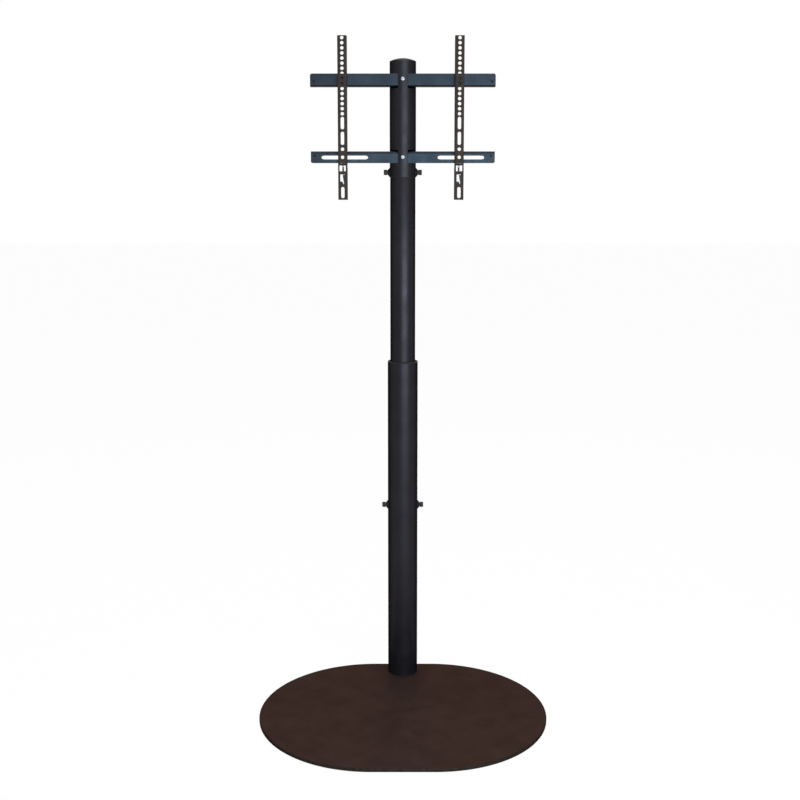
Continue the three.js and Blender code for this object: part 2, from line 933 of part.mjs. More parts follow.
function boltGuide() {
  const half = armInnerWidth / 2 - seatGap;
  const top = lowerBarBottom - lockGuideGap;
  const back = lockBoltY + lockBoltRadius + lockTabMargin;
  const body = block(-half, half, armInside + seatGap, back, top - lockGuideHeight, top);
  const bore = rod(
    "z",
    lockBoltRadius + seatGap,
    top - lockGuideHeight - cutOverrun,
    top + cutOverrun,
    { y: lockBoltY },
  );
  return body.subtract(bore);
}

function lockBolt() {
  const top = lowerBarBottom + lockBoltReach;
  const bottom = lowerBarBottom - lockTabDrop - lockTabHeight - lockBoltTail;
  const slitHalf = (lockBoltRadius * lockSlitWidthShare) / 2;
  const slit = block(
    -lockBoltRadius - cutOverrun,
    lockBoltRadius + cutOverrun,
    lockBoltY - slitHalf,
    lockBoltY + slitHalf,
    bottom - cutOverrun,
    bottom + lockBoltRadius * lockSlitDepthShare,
  );
  return rod("z", lockBoltRadius, bottom, top, { y: lockBoltY }).subtract(slit);
}

// The lever's rivet sits halfway between the lever slot and the slot at the foot of the arm.
function leverPlace() {
  const slotTop = lowerBarBottom - leverSlotDrop;
  const footSlotTop = armBottom + footSlotInset + footSlotLength;
  return {
    x: leverPinOffset,
    z: (slotTop - leverSlotHeight - leverTailHeight + footSlotTop) / 2,
    top: slotTop - leverTopGap,
  };
}

function latchLever() {
  const { x, z, top } = leverPlace();
  const front = armInside + leverPlay;
  const shape = new THREE.Shape();
  shape.moveTo(leverTopOffset - leverTopWidth / 2, top);
  shape.lineTo(x - leverEndRadius, z);
  shape.absarc(x, z, leverEndRadius, -Math.PI, 0);
  shape.lineTo(leverTopOffset + leverTopWidth / 2, top);
  shape.closePath();
  const plate = pushedAlongY(shape, front, front + leverSheet);
  const hole = rod(
    "y",
    leverPinRadius + seatGap,
    front - cutOverrun,
    front + leverSheet + cutOverrun,
    { x, z },
    holeSegments,
  );
  return plate.subtract(hole);
}

function latchPin() {
  const { x, z } = leverPlace();
  const seat = armInside + leverPlay + leverSheet + leverPlay;
  const end = seat + leverPinHeadHeight;
  const shank = rod("y", leverPinRadius, armInside, end, { x, z }, holeSegments);
  const head = rod("y", leverPinHeadRadius, seat, end, { x, z }, holeSegments);
  return shank.add(head);
}

function arm(side, place) {
  const group = groupOf(
    piece(`${side}_arm`, armSolid(), armPowder),
    piece(`${side}_bolt_guide`, boltGuide(), blackNylon),
    piece(`${side}_lock_bolt`, lockBolt(), steel),
    piece(`${side}_latch_lever`, latchLever(), barPowder),
    piece(`${side}_latch_pin`, latchPin(), blackSteel),
  );
  group.position.x = place;
  return group;
}

// The whole stand

function column() {
  return groupOf(
    footPlug(),
    lowerTube(),
    guideBush(),
    upperTube(),
    glideBush(),
    spigot(),
    thrustRing(),
    clampPair("lower", lowerTubeRadius, upperTubeRadius, lowerClampZ),
  );
}

function head() {
  return groupOf(
    headTube(),
    headCap(),
    upperBar(),
    lowerBar(),
    barScrew("upper_bar_screw", upperScrewZ),
    barScrew("lower_bar_screw", lowerScrewZ),
    barNut("upper_bar_nut", upperScrewZ),
    barNut("lower_bar_nut", lowerScrewZ),
    ...stopScrews(),
    clampPair("head", headTubeRadius, spigotRadius, headClampZ),
    arm("left", leftArmPlace),
    arm("right", rightArmPlace),
  );
}

const mast = groupOf(column(), head());
mast.position.y = columnY;

const stand = groupOf(
  basePlate(),
  ...basePads(),
  ...footBoltPlaces().map((place, i) => footBolt(`foot_bolt_${i + 1}`, place)),
  mast,
);

export default stand;
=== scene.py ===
"""The television floor stand, dressed: smooth sheet metal, tubes and fasteners in their finishes.

Sizes are in millimetres in the classes below and become metres when a mesh is made. The origin is
on the floor under the middle of the plate, +Z is up and the viewer stands on the -Y side.
"""

import json
import logging
import math
from collections.abc import Callable, Sequence
from dataclasses import dataclass, field, replace
from enum import Enum

import bmesh
import bpy
import numpy as np
from numpy.typing import NDArray
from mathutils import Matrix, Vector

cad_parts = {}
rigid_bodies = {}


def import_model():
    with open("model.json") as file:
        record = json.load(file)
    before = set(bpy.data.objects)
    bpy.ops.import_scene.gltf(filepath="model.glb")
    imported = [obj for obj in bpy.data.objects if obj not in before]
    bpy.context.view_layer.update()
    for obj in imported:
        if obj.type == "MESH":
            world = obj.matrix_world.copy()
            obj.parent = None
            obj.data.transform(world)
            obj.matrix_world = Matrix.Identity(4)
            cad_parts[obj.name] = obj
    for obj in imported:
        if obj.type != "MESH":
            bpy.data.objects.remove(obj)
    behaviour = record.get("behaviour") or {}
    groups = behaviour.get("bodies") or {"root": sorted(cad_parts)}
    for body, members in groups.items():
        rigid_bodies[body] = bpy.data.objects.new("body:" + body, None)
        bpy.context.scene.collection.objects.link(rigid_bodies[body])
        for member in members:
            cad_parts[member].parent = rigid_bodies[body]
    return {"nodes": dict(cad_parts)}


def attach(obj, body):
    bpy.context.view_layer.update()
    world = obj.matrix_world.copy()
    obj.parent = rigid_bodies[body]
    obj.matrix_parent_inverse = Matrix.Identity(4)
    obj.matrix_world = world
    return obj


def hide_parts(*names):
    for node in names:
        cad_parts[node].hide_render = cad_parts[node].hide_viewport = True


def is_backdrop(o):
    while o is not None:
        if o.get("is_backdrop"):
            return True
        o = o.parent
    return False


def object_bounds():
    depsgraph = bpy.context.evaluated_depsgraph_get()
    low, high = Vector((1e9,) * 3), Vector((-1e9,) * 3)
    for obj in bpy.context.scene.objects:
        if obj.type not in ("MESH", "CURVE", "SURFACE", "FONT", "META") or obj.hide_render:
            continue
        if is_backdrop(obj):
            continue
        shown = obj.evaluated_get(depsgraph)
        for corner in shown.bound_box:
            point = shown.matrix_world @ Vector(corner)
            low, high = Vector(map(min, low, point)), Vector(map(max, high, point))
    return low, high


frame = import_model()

CAD_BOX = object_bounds()
LOG = logging.getLogger("stand")
MM = 0.001
FULL_TURN = math.tau
HALF_TURN = math.pi
QUARTER_TURN = math.pi / 2
ON_LINE = 1e-6

Array = NDArray[np.float64]
Rows = Sequence[Sequence[float]]
Indices = NDArray[np.int64]
Place = Callable[[Array, Array, float], Array]
Shares = tuple[Array, Array, Array, Array]
Pair = tuple[float, float]
Triple = tuple[float, float, float]
Rectangle = tuple[float, float, float, float]
Socket = bpy.types.NodeSocket


class Side(Enum):
    """Which side of the column a piece is on, seen from the front."""

    LEFT = -1
    RIGHT = 1

    @property
    def word(self) -> str:
        """The side's name as the nodes spell it."""
        return self.name.lower()


class Fold(Enum):
    """Which way the free edge of a bar looks up to its fold."""

    FOLD_AT_TOP = 1
    FOLD_AT_BOTTOM = -1


# Surfaces


@dataclass(frozen=True)
class Surface:
    """A skin of four-cornered faces.

    Args:
        points: One row of x, y, z for each point, in millimetres.
        faces: One row of four point numbers for each face.
        wear: For each point, 1 on an edge that hands rub, and on the plate's rim, which takes
            painted shade; 0 elsewhere.
    """

    points: Array
    faces: Indices
    wear: Array

    @staticmethod
    def joined(parts: Sequence["Surface"]) -> "Surface":
        """Several surfaces as one.

        Args:
            parts: The surfaces to put together.

        Returns:
            One surface whose point numbers follow on from part to part.
        """
        starts = np.cumsum([0] + [len(part.points) for part in parts[:-1]])
        return Surface(
            np.concatenate([part.points for part in parts]),
            np.concatenate([part.faces + start for part, start in zip(parts, starts)]),
            np.concatenate([part.wear for part in parts]),
        )

    def moved(self, x: float = 0.0, y: float = 0.0, z: float = 0.0) -> "Surface":
        """The same surface carried along a vector, in millimetres."""
        return Surface(self.points + np.array([x, y, z]), self.faces, self.wear)


def level(x: Array, y: Array, z: float) -> Array:
    """Points at one height."""
    return np.stack([x, y, np.full_like(x, z)], axis=-1)


def quads(index: Indices) -> Indices:
    """The four corners of every cell of a grid of point numbers."""
    return np.stack([index[:-1, :-1], index[1:, :-1], index[1:, 1:], index[:-1, 1:]], axis=-1)


def skin(loops: Array, ring: bool = False, wear: Array | None = None) -> Surface:
    """Faces between neighbouring loops of points.

    Face (i, j) joins points j and j + 1 of loop i to points j and j + 1 of loop i + 1, and the
    last point of a loop is next to its first.

    Args:
        loops: The loops, as an array of loop number, point number and x, y, z.
        ring: Whether the last loop is joined to the first.
        wear: For each loop, how much its points take the edge colour of worn paint and painted
            shade.

    Returns:
        The surface.
    """
    count, around = loops.shape[:2]
    index = np.arange(count * around).reshape(count, around)
    low = index if ring else index[:-1]
    high = np.roll(index, -1, axis=0) if ring else index[1:]
    corners = [low, np.roll(low, -1, axis=1), np.roll(high, -1, axis=1), high]
    rubbed = np.zeros(count) if wear is None else np.asarray(wear, float)
    return Surface(
        loops.reshape(-1, 3),
        np.stack(corners, axis=-1).reshape(-1, 4),
        np.repeat(rubbed, around),
    )


def softened(
    corners: Rows,
    cuts: Sequence[float] | float,
    steps: int = 4,
    closed: bool = False,
) -> Array:
    """A profile with its corners rounded.

    At each corner a parabola runs from the point one cut before it to the point one cut after it:
    (1 - u)^2 A + 2 u (1 - u) C + u^2 B, for u from 0 to 1. A cut is at most half of a side.

    Args:
        corners: The profile's corners, one row of two numbers each.
        cuts: How far from each corner its rounding starts, or one number for all.
        steps: How many points each rounding has.
        closed: Whether the last corner is joined to the first. An open profile keeps its ends.

    Returns:
        The rounded profile's points.
    """
    points = np.asarray(corners, float)
    wanted = np.broadcast_to(np.asarray(cuts, float), (len(points),)).copy()
    before = np.roll(points, 1, axis=0) - points
    after = np.roll(points, -1, axis=0) - points
    if not closed:
        wanted[[0, -1]] = 0
        before[0] = after[0]
        after[-1] = before[-1]
    reach_before = np.linalg.norm(before, axis=1)
    reach_after = np.linalg.norm(after, axis=1)
    cut = np.minimum(wanted, np.minimum(reach_before, reach_after) / 2)
    start = points + before * (cut / reach_before)[:, None]
    end = points + after * (cut / reach_after)[:, None]
    u = np.linspace(0, 1, steps)[None, :, None]
    bends = (
        (1 - u) ** 2 * start[:, None] + 2 * u * (1 - u) * points[:, None] + u**2 * end[:, None]
    )
    return bends.reshape(-1, 2)


class Axis(Enum):
    """The way an axis of revolution points."""

    UP = "z"
    FORWARD = "-y"
    LEFTWARD = "-x"
    RIGHTWARD = "x"

    def place(self, radius: Array, angle: Array, height: Array) -> Array:
        """Points round the axis.

        Args:
            radius: Distance from the axis.
            angle: Angle round it.
            height: Place along it.

        Returns:
            The points' x, y, z.
        """
        first, second = radius * np.cos(angle), radius * np.sin(angle)
        height = np.broadcast_to(height, np.broadcast(radius, angle).shape)
        turned = {
            Axis.UP: (first, second, height),
            Axis.FORWARD: (first, -height, second),
            Axis.LEFTWARD: (-height, first, second),
            Axis.RIGHTWARD: (height, second, first),
        }
        return np.stack(turned[self], axis=-1)


def angles(count: int) -> Array:
    """Evenly spaced angles of a full turn, without the last."""
    return np.linspace(0, FULL_TURN, count, endpoint=False)


def hexagon(around: Array) -> Array:
    """The radius of a six-sided outline at each angle, as a share of its half width.

    It is 1 over the cosine of the angle's distance from the middle of the nearest side.
    """
    sixth = FULL_TURN / 6
    return 1 / np.cos(np.mod(around + sixth / 2, sixth) - sixth / 2)


def threaded(crest: float, depth: float, pitch: float, height: Array, around: Array) -> Array:
    """The radius of a helical thread.

    It falls from the crest by the depth times the doubled distance, in pitches, of the height
    less the turned share of a pitch from the middle between two roots.

    Args:
        crest: The radius of the crest.
        depth: The depth of the thread.
        pitch: Its rise in one turn.
        height: Places along the axis.
        around: Angles round it.

    Returns:
        The radii.
    """
    phase = np.mod(height / pitch - around / FULL_TURN, 1.0)
    return crest - depth * 2 * np.abs(phase - 0.5)


def turned(
    profile: Array | Rows,
    axis: Axis = Axis.UP,
    segments: int = 64,
    ring: bool = False,
) -> Surface:
    """A profile of radius and height carried round an axis.

    Point (i, j) is at the radius and height of profile point i and at the angle j of the turn.

    Args:
        profile: Rows of radius and height.
        axis: The axis it turns about, through the origin.
        segments: How many points one turn has.
        ring: Whether the profile closes on itself.

    Returns:
        The surface.
    """
    profile = np.asarray(profile, float)
    return skin(axis.place(profile[:, :1], angles(segments), profile[:, 1:]), ring)


@dataclass(frozen=True)
class Window:
    """An opening with rounded corners in a sheet's flat layout.

    Args:
        s: Its middle across the layout.
        t: Its middle up the layout.
        half_s: Half its width.
        half_t: Half its height.
        radius: Its corner radius.
        cell: The stretch of the layout given over to it, if any: low s, high s, low t, high t.
        tail: Where its foot starts to run down, where it ends, and how far down that is, or None.
        keyhole: The radius of a round hole that opens into its top, and how far the hole's middle
            is above its own, or None.
    """

    s: float
    t: float
    half_s: float
    half_t: float
    radius: float
    cell: Rectangle = (0.0, 0.0, 0.0, 0.0)
    tail: Triple | None = None
    keyhole: Pair | None = None

    @property
    def top(self) -> float:
        """The height of its highest point."""
        return self.t + (sum(self.keyhole) if self.keyhole else self.half_t)

    @property
    def bottom(self) -> float:
        """The height of its lowest point."""
        return self.t - self.half_t - (self.tail[2] if self.tail else 0.0)

    @staticmethod
    def round_hole(s: float, t: float, radius: float, half_cell: Pair = (0.0, 0.0)) -> "Window":
        """A round hole, in the middle of a cell of half this width and height."""
        wide, high = half_cell
        return Window(s, t, radius, radius, radius, (s - wide, s + wide, t - high, t + high))


def side_points(
    fraction: Array, half_along: float, out: float, radius: float
) -> tuple[Array, Array]:
    """One side of a rounded rectangle, from the middle of one corner's arc to the next's.

    The distance along the side, less the first eighth of a circle, gives the straight run m; what
    is left over, divided by the radius, gives the angle a on the arc. Then along is
    m - (half - r) + r sin a and outward is (out - r) + r cos a.

    Args:
        fraction: Shares of the way along the side.
        half_along: Half the rectangle's size along this side.
        out: The side's distance from the middle.
        radius: The corner radius.

    Returns:
        The distances along and outward.
    """
    arc = radius * math.pi / 4
    straight = 2 * (half_along - radius)
    travelled = fraction * (2 * arc + straight)
    run = np.clip(travelled - arc, 0, straight)
    angle = (travelled - arc - run) / max(radius, 1e-9)
    along = run - (half_along - radius) + radius * np.sin(angle)
    return along, out - radius + radius * np.cos(angle)


def keyhole_top(
    fraction: Array, half_along: float, out: float, radius: float, hole: Pair
) -> tuple[Array, Array]:
    """The top side of a window that a round hole opens into.

    The side runs from the middle of one corner's arc to where the hole's circle crosses it, round
    the circle, and on to the middle of the other corner's arc. Points stand at even shares of its
    length.

    Args:
        fraction: Shares of the way along the side.
        half_along: Half the window's width.
        out: Half its height.
        radius: Its corner radius.
        hole: The hole's radius and how far its middle is above the window's.

    Returns:
        The distances along and outward.
    """
    bore, rise = hole
    along, outward = side_points(np.linspace(0, 1, 65), half_along, out, radius)
    reach = math.acos((rise - out) / bore)
    around = np.linspace(HALF_TURN - reach, reach - HALF_TURN, 49)
    before, after = along < -bore * math.sin(reach), along > bore * math.sin(reach)
    path_along = np.concatenate([along[before], -bore * np.sin(around), along[after]])
    path_out = np.concatenate([outward[before], rise + bore * np.cos(around), outward[after]])
    steps = np.hypot(np.diff(path_along), np.diff(path_out))
    travelled = np.concatenate([[0.0], np.cumsum(steps)])
    wanted = fraction * travelled[-1]
    return np.interp(wanted, travelled, path_along), np.interp(wanted, travelled, path_out)


def rounded_outline(
    window: Window, shares: Shares
) -> tuple[Array, Array]:
    """The closed outline of a window, anticlockwise from its lower left corner.

    A tail lowers each point by its depth, times how far across the tail the point is, times how
    far below the window's top it is as a share of the height.

    Args:
        window: The opening.
        shares: Shares along its bottom, right, top and left sides, each without its last point.

    Returns:
        The outline's s and t.
    """
    half_s, half_t, radius = window.half_s, window.half_t, window.radius
    bottom = side_points(shares[0], half_s, half_t, radius)
    right = side_points(shares[1], half_t, half_s, radius)
    if window.keyhole is None:
        top = side_points(shares[2], half_s, half_t, radius)
    else:
        top = keyhole_top(shares[2], half_s, half_t, radius, window.keyhole)
    left = side_points(shares[3], half_t, half_s, radius)
    s = np.concatenate([bottom[0], right[1], -top[0], -left[1]])
    t = np.concatenate([-bottom[1], right[0], top[1], -left[0]])
    if window.tail is not None:
        start, end, depth = window.tail
        across = np.clip((window.s + s - start) / (end - start), 0, 1)
        t = t - depth * across * (half_t - t) / (2 * half_t)
    return window.s + s, window.t + t


def even_shares(count: int) -> Shares:
    """Even shares of four sides, each with this many points."""
    share = np.linspace(0, 1, count, endpoint=False)
    return share, share, share, share


def ruled(stops: Sequence[float], step: float) -> Array:
    """Layout lines at every stop, with even lines between stops no further apart than the step.

    Args:
        stops: The places that need a line, in any order.
        step: The widest space between two lines.

    Returns:
        The lines, in order.
    """
    places = np.unique(np.round(np.asarray(stops, float), 6))
    spans = [
        np.linspace(low, high, max(1, math.ceil((high - low) / step)), endpoint=False)
        for low, high in zip(places[:-1], places[1:])
    ]
    return np.concatenate([*spans, places[-1:]])


@dataclass(frozen=True)
class Sheet:
    """Sheet metal, laid out flat and then folded or rolled.

    Args:
        s: Layout lines across.
        t: Layout lines up.
        place: The point at s, t and a share of the thickness, 0 on the front and 1 on the back.
        gone: Rectangles that are cut away: low s, high s, low t, high t.
        windows: Openings with rounded corners.
        around: The length of a layout whose last line across is joined to its first, or 0.
    """

    s: Array
    t: Array
    place: Place
    gone: tuple[Rectangle, ...] = ()
    windows: tuple[Window, ...] = ()
    around: float = 0.0

    def _inside(self, rectangle: Rectangle) -> NDArray[np.bool_]:
        """Which layout cells have their middle in a rectangle."""
        ends = np.append(self.s[1:], self.s[0] + self.around) if self.around else self.s[1:]
        middle_s = (self.s[: len(ends)] + ends) / 2
        middle_t = (self.t[:-1] + self.t[1:]) / 2
        low_s, high_s, low_t, high_t = rectangle
        in_s = (middle_s > low_s) & (middle_s < high_s)
        in_t = (middle_t > low_t) & (middle_t < high_t)
        return in_s[:, None] & in_t[None, :]

    def _window_skin(self, window: Window) -> Surface:
        """The faces between a window's cell and its rim, on the front, through and on the back."""
        low_s, high_s, low_t, high_t = window.cell
        s = self.s[(self.s > low_s - ON_LINE) & (self.s < high_s + ON_LINE)]
        t = self.t[(self.t > low_t - ON_LINE) & (self.t < high_t + ON_LINE)]
        across = (s - low_s) / (high_s - low_s)
        up = (t - low_t) / (high_t - low_t)
        shares = (across[:-1], up[:-1], 1 - across[:0:-1], 1 - up[:0:-1])
        centre_s, centre_t = (low_s + high_s) / 2, (low_t + high_t) / 2
        border = Window(centre_s, centre_t, high_s - centre_s, high_t - centre_t, 0.0)
        outer = rounded_outline(border, shares)
        rim = rounded_outline(window, shares)
        loops = [
            self.place(*outer, 0.0),
            self.place(*rim, 0.0),
            self.place(*rim, 1.0),
            self.place(*outer, 1.0),
        ]
        return skin(np.stack(loops), wear=np.array([0.0, 1.0, 1.0, 0.0]))

    def surface(self) -> Surface:
        """The folded sheet with its rims, cut-outs and windows.

        A face is drawn on the front and the back of every kept layout cell, and a rim wherever a
        kept cell is next to one that is cut away or to the sheet's edge.

        Returns:
            The surface.
        """
        grid_s, grid_t = np.meshgrid(self.s, self.t, indexing="ij")
        front = np.arange(grid_s.size).reshape(grid_s.shape)
        if self.around:
            front = np.concatenate([front, front[:1]])
        back = front + grid_s.size
        solid = np.ones((len(front) - 1, len(self.t) - 1), bool)
        for rectangle in self.gone:
            solid &= ~self._inside(rectangle)
        drawn = solid.copy()
        for window in self.windows:
            drawn &= ~self._inside(window.cell)

        if self.around:
            rim_s = solid != np.roll(solid, 1, axis=0)
        else:
            rim_s = np.diff(np.pad(solid, ((1, 1), (0, 0))), axis=0)
        rim_t = np.diff(np.pad(solid, ((0, 0), (1, 1))), axis=1)
        fore, aft = front[: len(rim_s)], back[: len(rim_s)]
        walls_s = np.stack([fore[:, :-1], fore[:, 1:], aft[:, 1:], aft[:, :-1]], axis=-1)
        walls_t = np.stack([front[:-1], front[1:], back[1:], back[:-1]], axis=-1)
        rims = np.concatenate([walls_s[rim_s], walls_t[rim_t]])
        faces = [quads(front)[drawn], quads(back)[drawn][:, ::-1], rims]
        points = [self.place(grid_s, grid_t, depth).reshape(-1, 3) for depth in (0.0, 1.0)]
        wear = np.zeros(2 * grid_s.size)
        wear[rims] = 1.0
        flat = Surface(np.concatenate(points), np.concatenate(faces), wear)
        return Surface.joined([flat, *(self._window_skin(window) for window in self.windows)])


# Finishes


@dataclass(frozen=True)
class Mottle:
    """Noise brought to run between two values.

    Args:
        size_mm: How wide its patches are.
        detail: How much finer noise it carries.
        low: Its value where the noise is at the start or under it.
        high: Its value where the noise is at the end or over it.
        start: The noise that gives the low value.
        end: The noise that gives the high value.
    """

    size_mm: float
    detail: float
    low: float = 0.0
    high: float = 1.0
    start: float = 0.3
    end: float = 0.7


class Graph:
    """The nodes of a material or the world, with a short way to add and join them."""

    def __init__(self, owner: bpy.types.Material | bpy.types.World, kind: str) -> None:
        """Empties the nodes, but for an output.

        Args:
            owner: The material or the world.
            kind: Which of the two it is, as its output node is named.
        """
        owner.use_nodes = True
        self.owner = owner
        self.tree = owner.node_tree
        self.tree.nodes.clear()
        self.output = self.node(f"Output{kind}")

    @staticmethod
    def of_material(name: str) -> "Graph":
        """A new material's nodes."""
        return Graph(bpy.data.materials.new(name), "Material")

    def node(
        self, kind: str, inputs: dict[str | int, object] | None = None, **settings: object
    ) -> bpy.types.Node:
        """Adds a node.

        Args:
            kind: The node's type, without its leading words.
            inputs: For each input, by name or number, a value or the output that feeds it.
            settings: The node's own settings.

        Returns:
            The node.
        """
        made = self.tree.nodes.new(f"ShaderNode{kind}")
        for key, value in settings.items():
            setattr(made, key, value)
        for key, value in (inputs or {}).items():
            if isinstance(value, Socket):
                self.tree.links.new(value, made.inputs[key])
            else:
                made.inputs[key].default_value = value
        return made

    def place(self) -> Socket:
        """The surface point in the piece's own space."""
        return self.node("TexCoord").outputs["Object"]

    def stretched(self, scale: Triple) -> Socket:
        """The surface point with each axis scaled, to draw a pattern out along one of them."""
        return self.node("Mapping", {"Vector": self.place(), "Scale": scale}).outputs["Vector"]

    def noise(self, size_mm: float, detail: float, vector: Socket | None = None) -> Socket:
        """Noise whose patches are about this wide."""
        where = vector or self.place()
        inputs = {"Vector": where, "Scale": 1 / (size_mm * MM), "Detail": detail}
        return self.node("TexNoise", inputs).outputs["Fac"]

    def mottled(self, mottle: Mottle, middle: float = 0.0) -> Socket:
        """A mottle, with its values counted from a middle one."""
        inputs = {
            "Value": self.noise(mottle.size_mm, mottle.detail),
            "From Min": mottle.start,
            "From Max": mottle.end,
            "To Min": middle + mottle.low,
            "To Max": middle + mottle.high,
        }
        return self.node("MapRange", inputs).outputs["Result"]

    def combined(self, operation: str, first: Socket, second: Socket | float) -> Socket:
        """Two values put together."""
        return self.node("Math", {0: first, 1: second}, operation=operation).outputs[0]

    def mixed(
        self, share: Socket, first: Socket | tuple[float, ...], second: Socket | tuple[float, ...]
    ) -> Socket:
        """Two colours mixed by a share."""
        return self.node("Mix", {0: share, 6: first, 7: second}, data_type="RGBA").outputs[2]

    def blended(
        self, share: Socket, first: bpy.types.Node, second: bpy.types.Node
    ) -> bpy.types.Node:
        """Two shaders mixed by a share."""
        return self.node("MixShader", {0: share, 1: first.outputs[0], 2: second.outputs[0]})

    def seen_directly(self) -> Socket:
        """1 for what the camera, a reflection or glass sees, and 0 for other light."""
        ray = self.node("LightPath")
        found = ray.outputs["Is Camera Ray"]
        for kind in ("Is Glossy Ray", "Is Transmission Ray"):
            found = self.combined("MAXIMUM", found, ray.outputs[kind])
        return found

    def bump(
        self, height: Socket, depth_mm: float, strength: float, under: Socket | None = None
    ) -> Socket:
        """A surface roughened by a height, over another such surface if one is given."""
        inputs = {"Height": height, "Distance": depth_mm * MM, "Strength": strength}
        if under:
            inputs["Normal"] = under
        return self.node("Bump", inputs).outputs["Normal"]

    def finished(self, shader: bpy.types.Node) -> bpy.types.Material | bpy.types.World:
        """The material or the world with this shader on its surface."""
        self.tree.links.new(shader.outputs[0], self.output.inputs["Surface"])
        return self.owner


def shade(colour: Triple, factor: float = 1.0) -> tuple[float, ...]:
    """A colour with alpha 1, made lighter or darker by a factor."""
    red, green, blue = colour
    return (red * factor, green * factor, blue * factor, 1.0)


@dataclass(frozen=True)
class PowderCoat:
    """Baked powder: a fine pebbled skin over orange peel, with faint clouds and an edge colour,
    pale where hands have worn it and, on the plate, painted shade.

    Args:
        name: The material's name.
        colour: Its colour in linear light.
        roughness: Its middle roughness.
        flake: The share of metal flake in it.
        glancing: How the flake tints what it reflects at a glancing angle.
        specular: How strongly the binder round the flake reflects.
        pebble_mm: The size of the fine grain.
        pebble_depth_mm: Its height.
        peel_mm: The size of the orange peel.
        rubbed: How far the edges take the edge colour; on the plate this paints shade on its rim.
        edge_colour: The colour of the coat at its edges: pale where worn, and on the plate a dark
            painted shade.
        patches: The patches in which the edges take it.
        clouds: The clouds in the colour.
        cloud_shades: How dark and how light they make it.
        specks: The pale specks.
        speck_shade: How much lighter than the colour they are.
        handling: What hands add to the roughness.
        pebble_strength: How strongly the fine grain shows.
        peel_bump: The height of the orange peel, and how strongly it shows.
    """

    name: str
    colour: Triple
    roughness: float
    flake: float = 0.0
    glancing: Triple = (1.0, 1.0, 1.0)
    specular: float = 0.0
    pebble_mm: float = 0.55
    pebble_depth_mm: float = 0.03
    peel_mm: float = 2.4
    rubbed: float = 0.35
    edge_colour: Triple = (0.16, 0.155, 0.15)
    patches: Mottle = Mottle(7, 5, 0, 1, 0.45, 0.62)
    clouds: Mottle = Mottle(60, 4)
    cloud_shades: Pair = (0.9, 1.1)
    specks: Mottle = Mottle(1.1, 2, 0, 0.5, 0.62, 0.75)
    speck_shade: float = 1.7
    handling: Mottle = Mottle(35, 6, -0.05, 0.07)
    pebble_strength: float = 0.35
    peel_bump: Pair = (0.05, 0.25)

    def material(self) -> bpy.types.Material:
        """Builds the material."""
        graph = Graph.of_material(self.name)
        shades = (shade(self.colour, factor) for factor in self.cloud_shades)
        clouded = graph.mixed(graph.mottled(self.clouds), *shades)
        specks = graph.mottled(self.specks)
        speckled = graph.mixed(specks, clouded, shade(self.colour, self.speck_shade))
        # The edges take the edge colour: pale worn paint on most coats, painted shade on the
        # plate's rim.
        edge = graph.node("Attribute", attribute_name="wear").outputs["Fac"]
        patches = graph.combined("MULTIPLY", edge, graph.mottled(self.patches))
        edge_wear_and_shade_share = graph.combined("MULTIPLY", patches, self.rubbed)
        coloured = graph.mixed(edge_wear_and_shade_share, speckled, shade(self.edge_colour))
        inputs = {"Vector": graph.place(), "Scale": 1 / (self.pebble_mm * MM)}
        pebbles = graph.node("TexVoronoi", inputs, feature="SMOOTH_F1").outputs["Distance"]
        peel = graph.bump(graph.noise(self.peel_mm, 1), *self.peel_bump)
        grain = graph.bump(pebbles, self.pebble_depth_mm, self.pebble_strength, peel)
        handled = graph.mottled(self.handling, self.roughness)
        shader = graph.node(
            "BsdfPrincipled",
            {
                "Base Color": coloured,
                "Roughness": handled,
                "Normal": grain,
                "Metallic": self.flake,
                "Specular IOR Level": self.specular,
                "Specular Tint": shade(self.glancing),
            },
        )
        return graph.finished(shader)


@dataclass(frozen=True)
class Moulded:
    """Moulded plastic or rubber: a fine spark-eroded grain, faint flow clouds and dulled edges.

    Args:
        name: The material's name.
        colour: Its colour in linear light.
        roughness: Its middle roughness.
        grain_mm: The size of the grain.
        grain_depth_mm: Its height.
        specular: How strongly it reflects face on.
        grain_strength: How strongly the grain shows.
        flow: The clouds in the colour.
        flow_shades: How dark and how light they make it.
        dust: The dust on it.
        dust_colour: The colour of the dust.
        handling: What hands add to the roughness.
    """

    name: str
    colour: Triple
    roughness: float
    grain_mm: float = 0.35
    grain_depth_mm: float = 0.015
    specular: float = 0.35
    grain_strength: float = 0.6
    flow: Mottle = Mottle(9, 5)
    flow_shades: Pair = (0.75, 1.35)
    dust: Mottle = Mottle(2.2, 4, 0, 0.25, 0.58, 0.75)
    dust_colour: Triple = (0.12, 0.115, 0.11)
    handling: Mottle = Mottle(5, 5, -0.08, 0.1)

    def material(self) -> bpy.types.Material:
        """Builds the material."""
        graph = Graph.of_material(self.name)
        shades = (shade(self.colour, factor) for factor in self.flow_shades)
        coloured = graph.mixed(graph.mottled(self.flow), *shades)
        dusted = graph.mixed(graph.mottled(self.dust), coloured, shade(self.dust_colour))
        fine = graph.noise(self.grain_mm, 2)
        grain = graph.bump(fine, self.grain_depth_mm, self.grain_strength)
        varied = graph.mottled(self.handling, self.roughness)
        shader = graph.node(
            "BsdfPrincipled",
            {
                "Base Color": dusted,
                "Roughness": varied,
                "Normal": grain,
                "Specular IOR Level": self.specular,
            },
        )
        return graph.finished(shader)


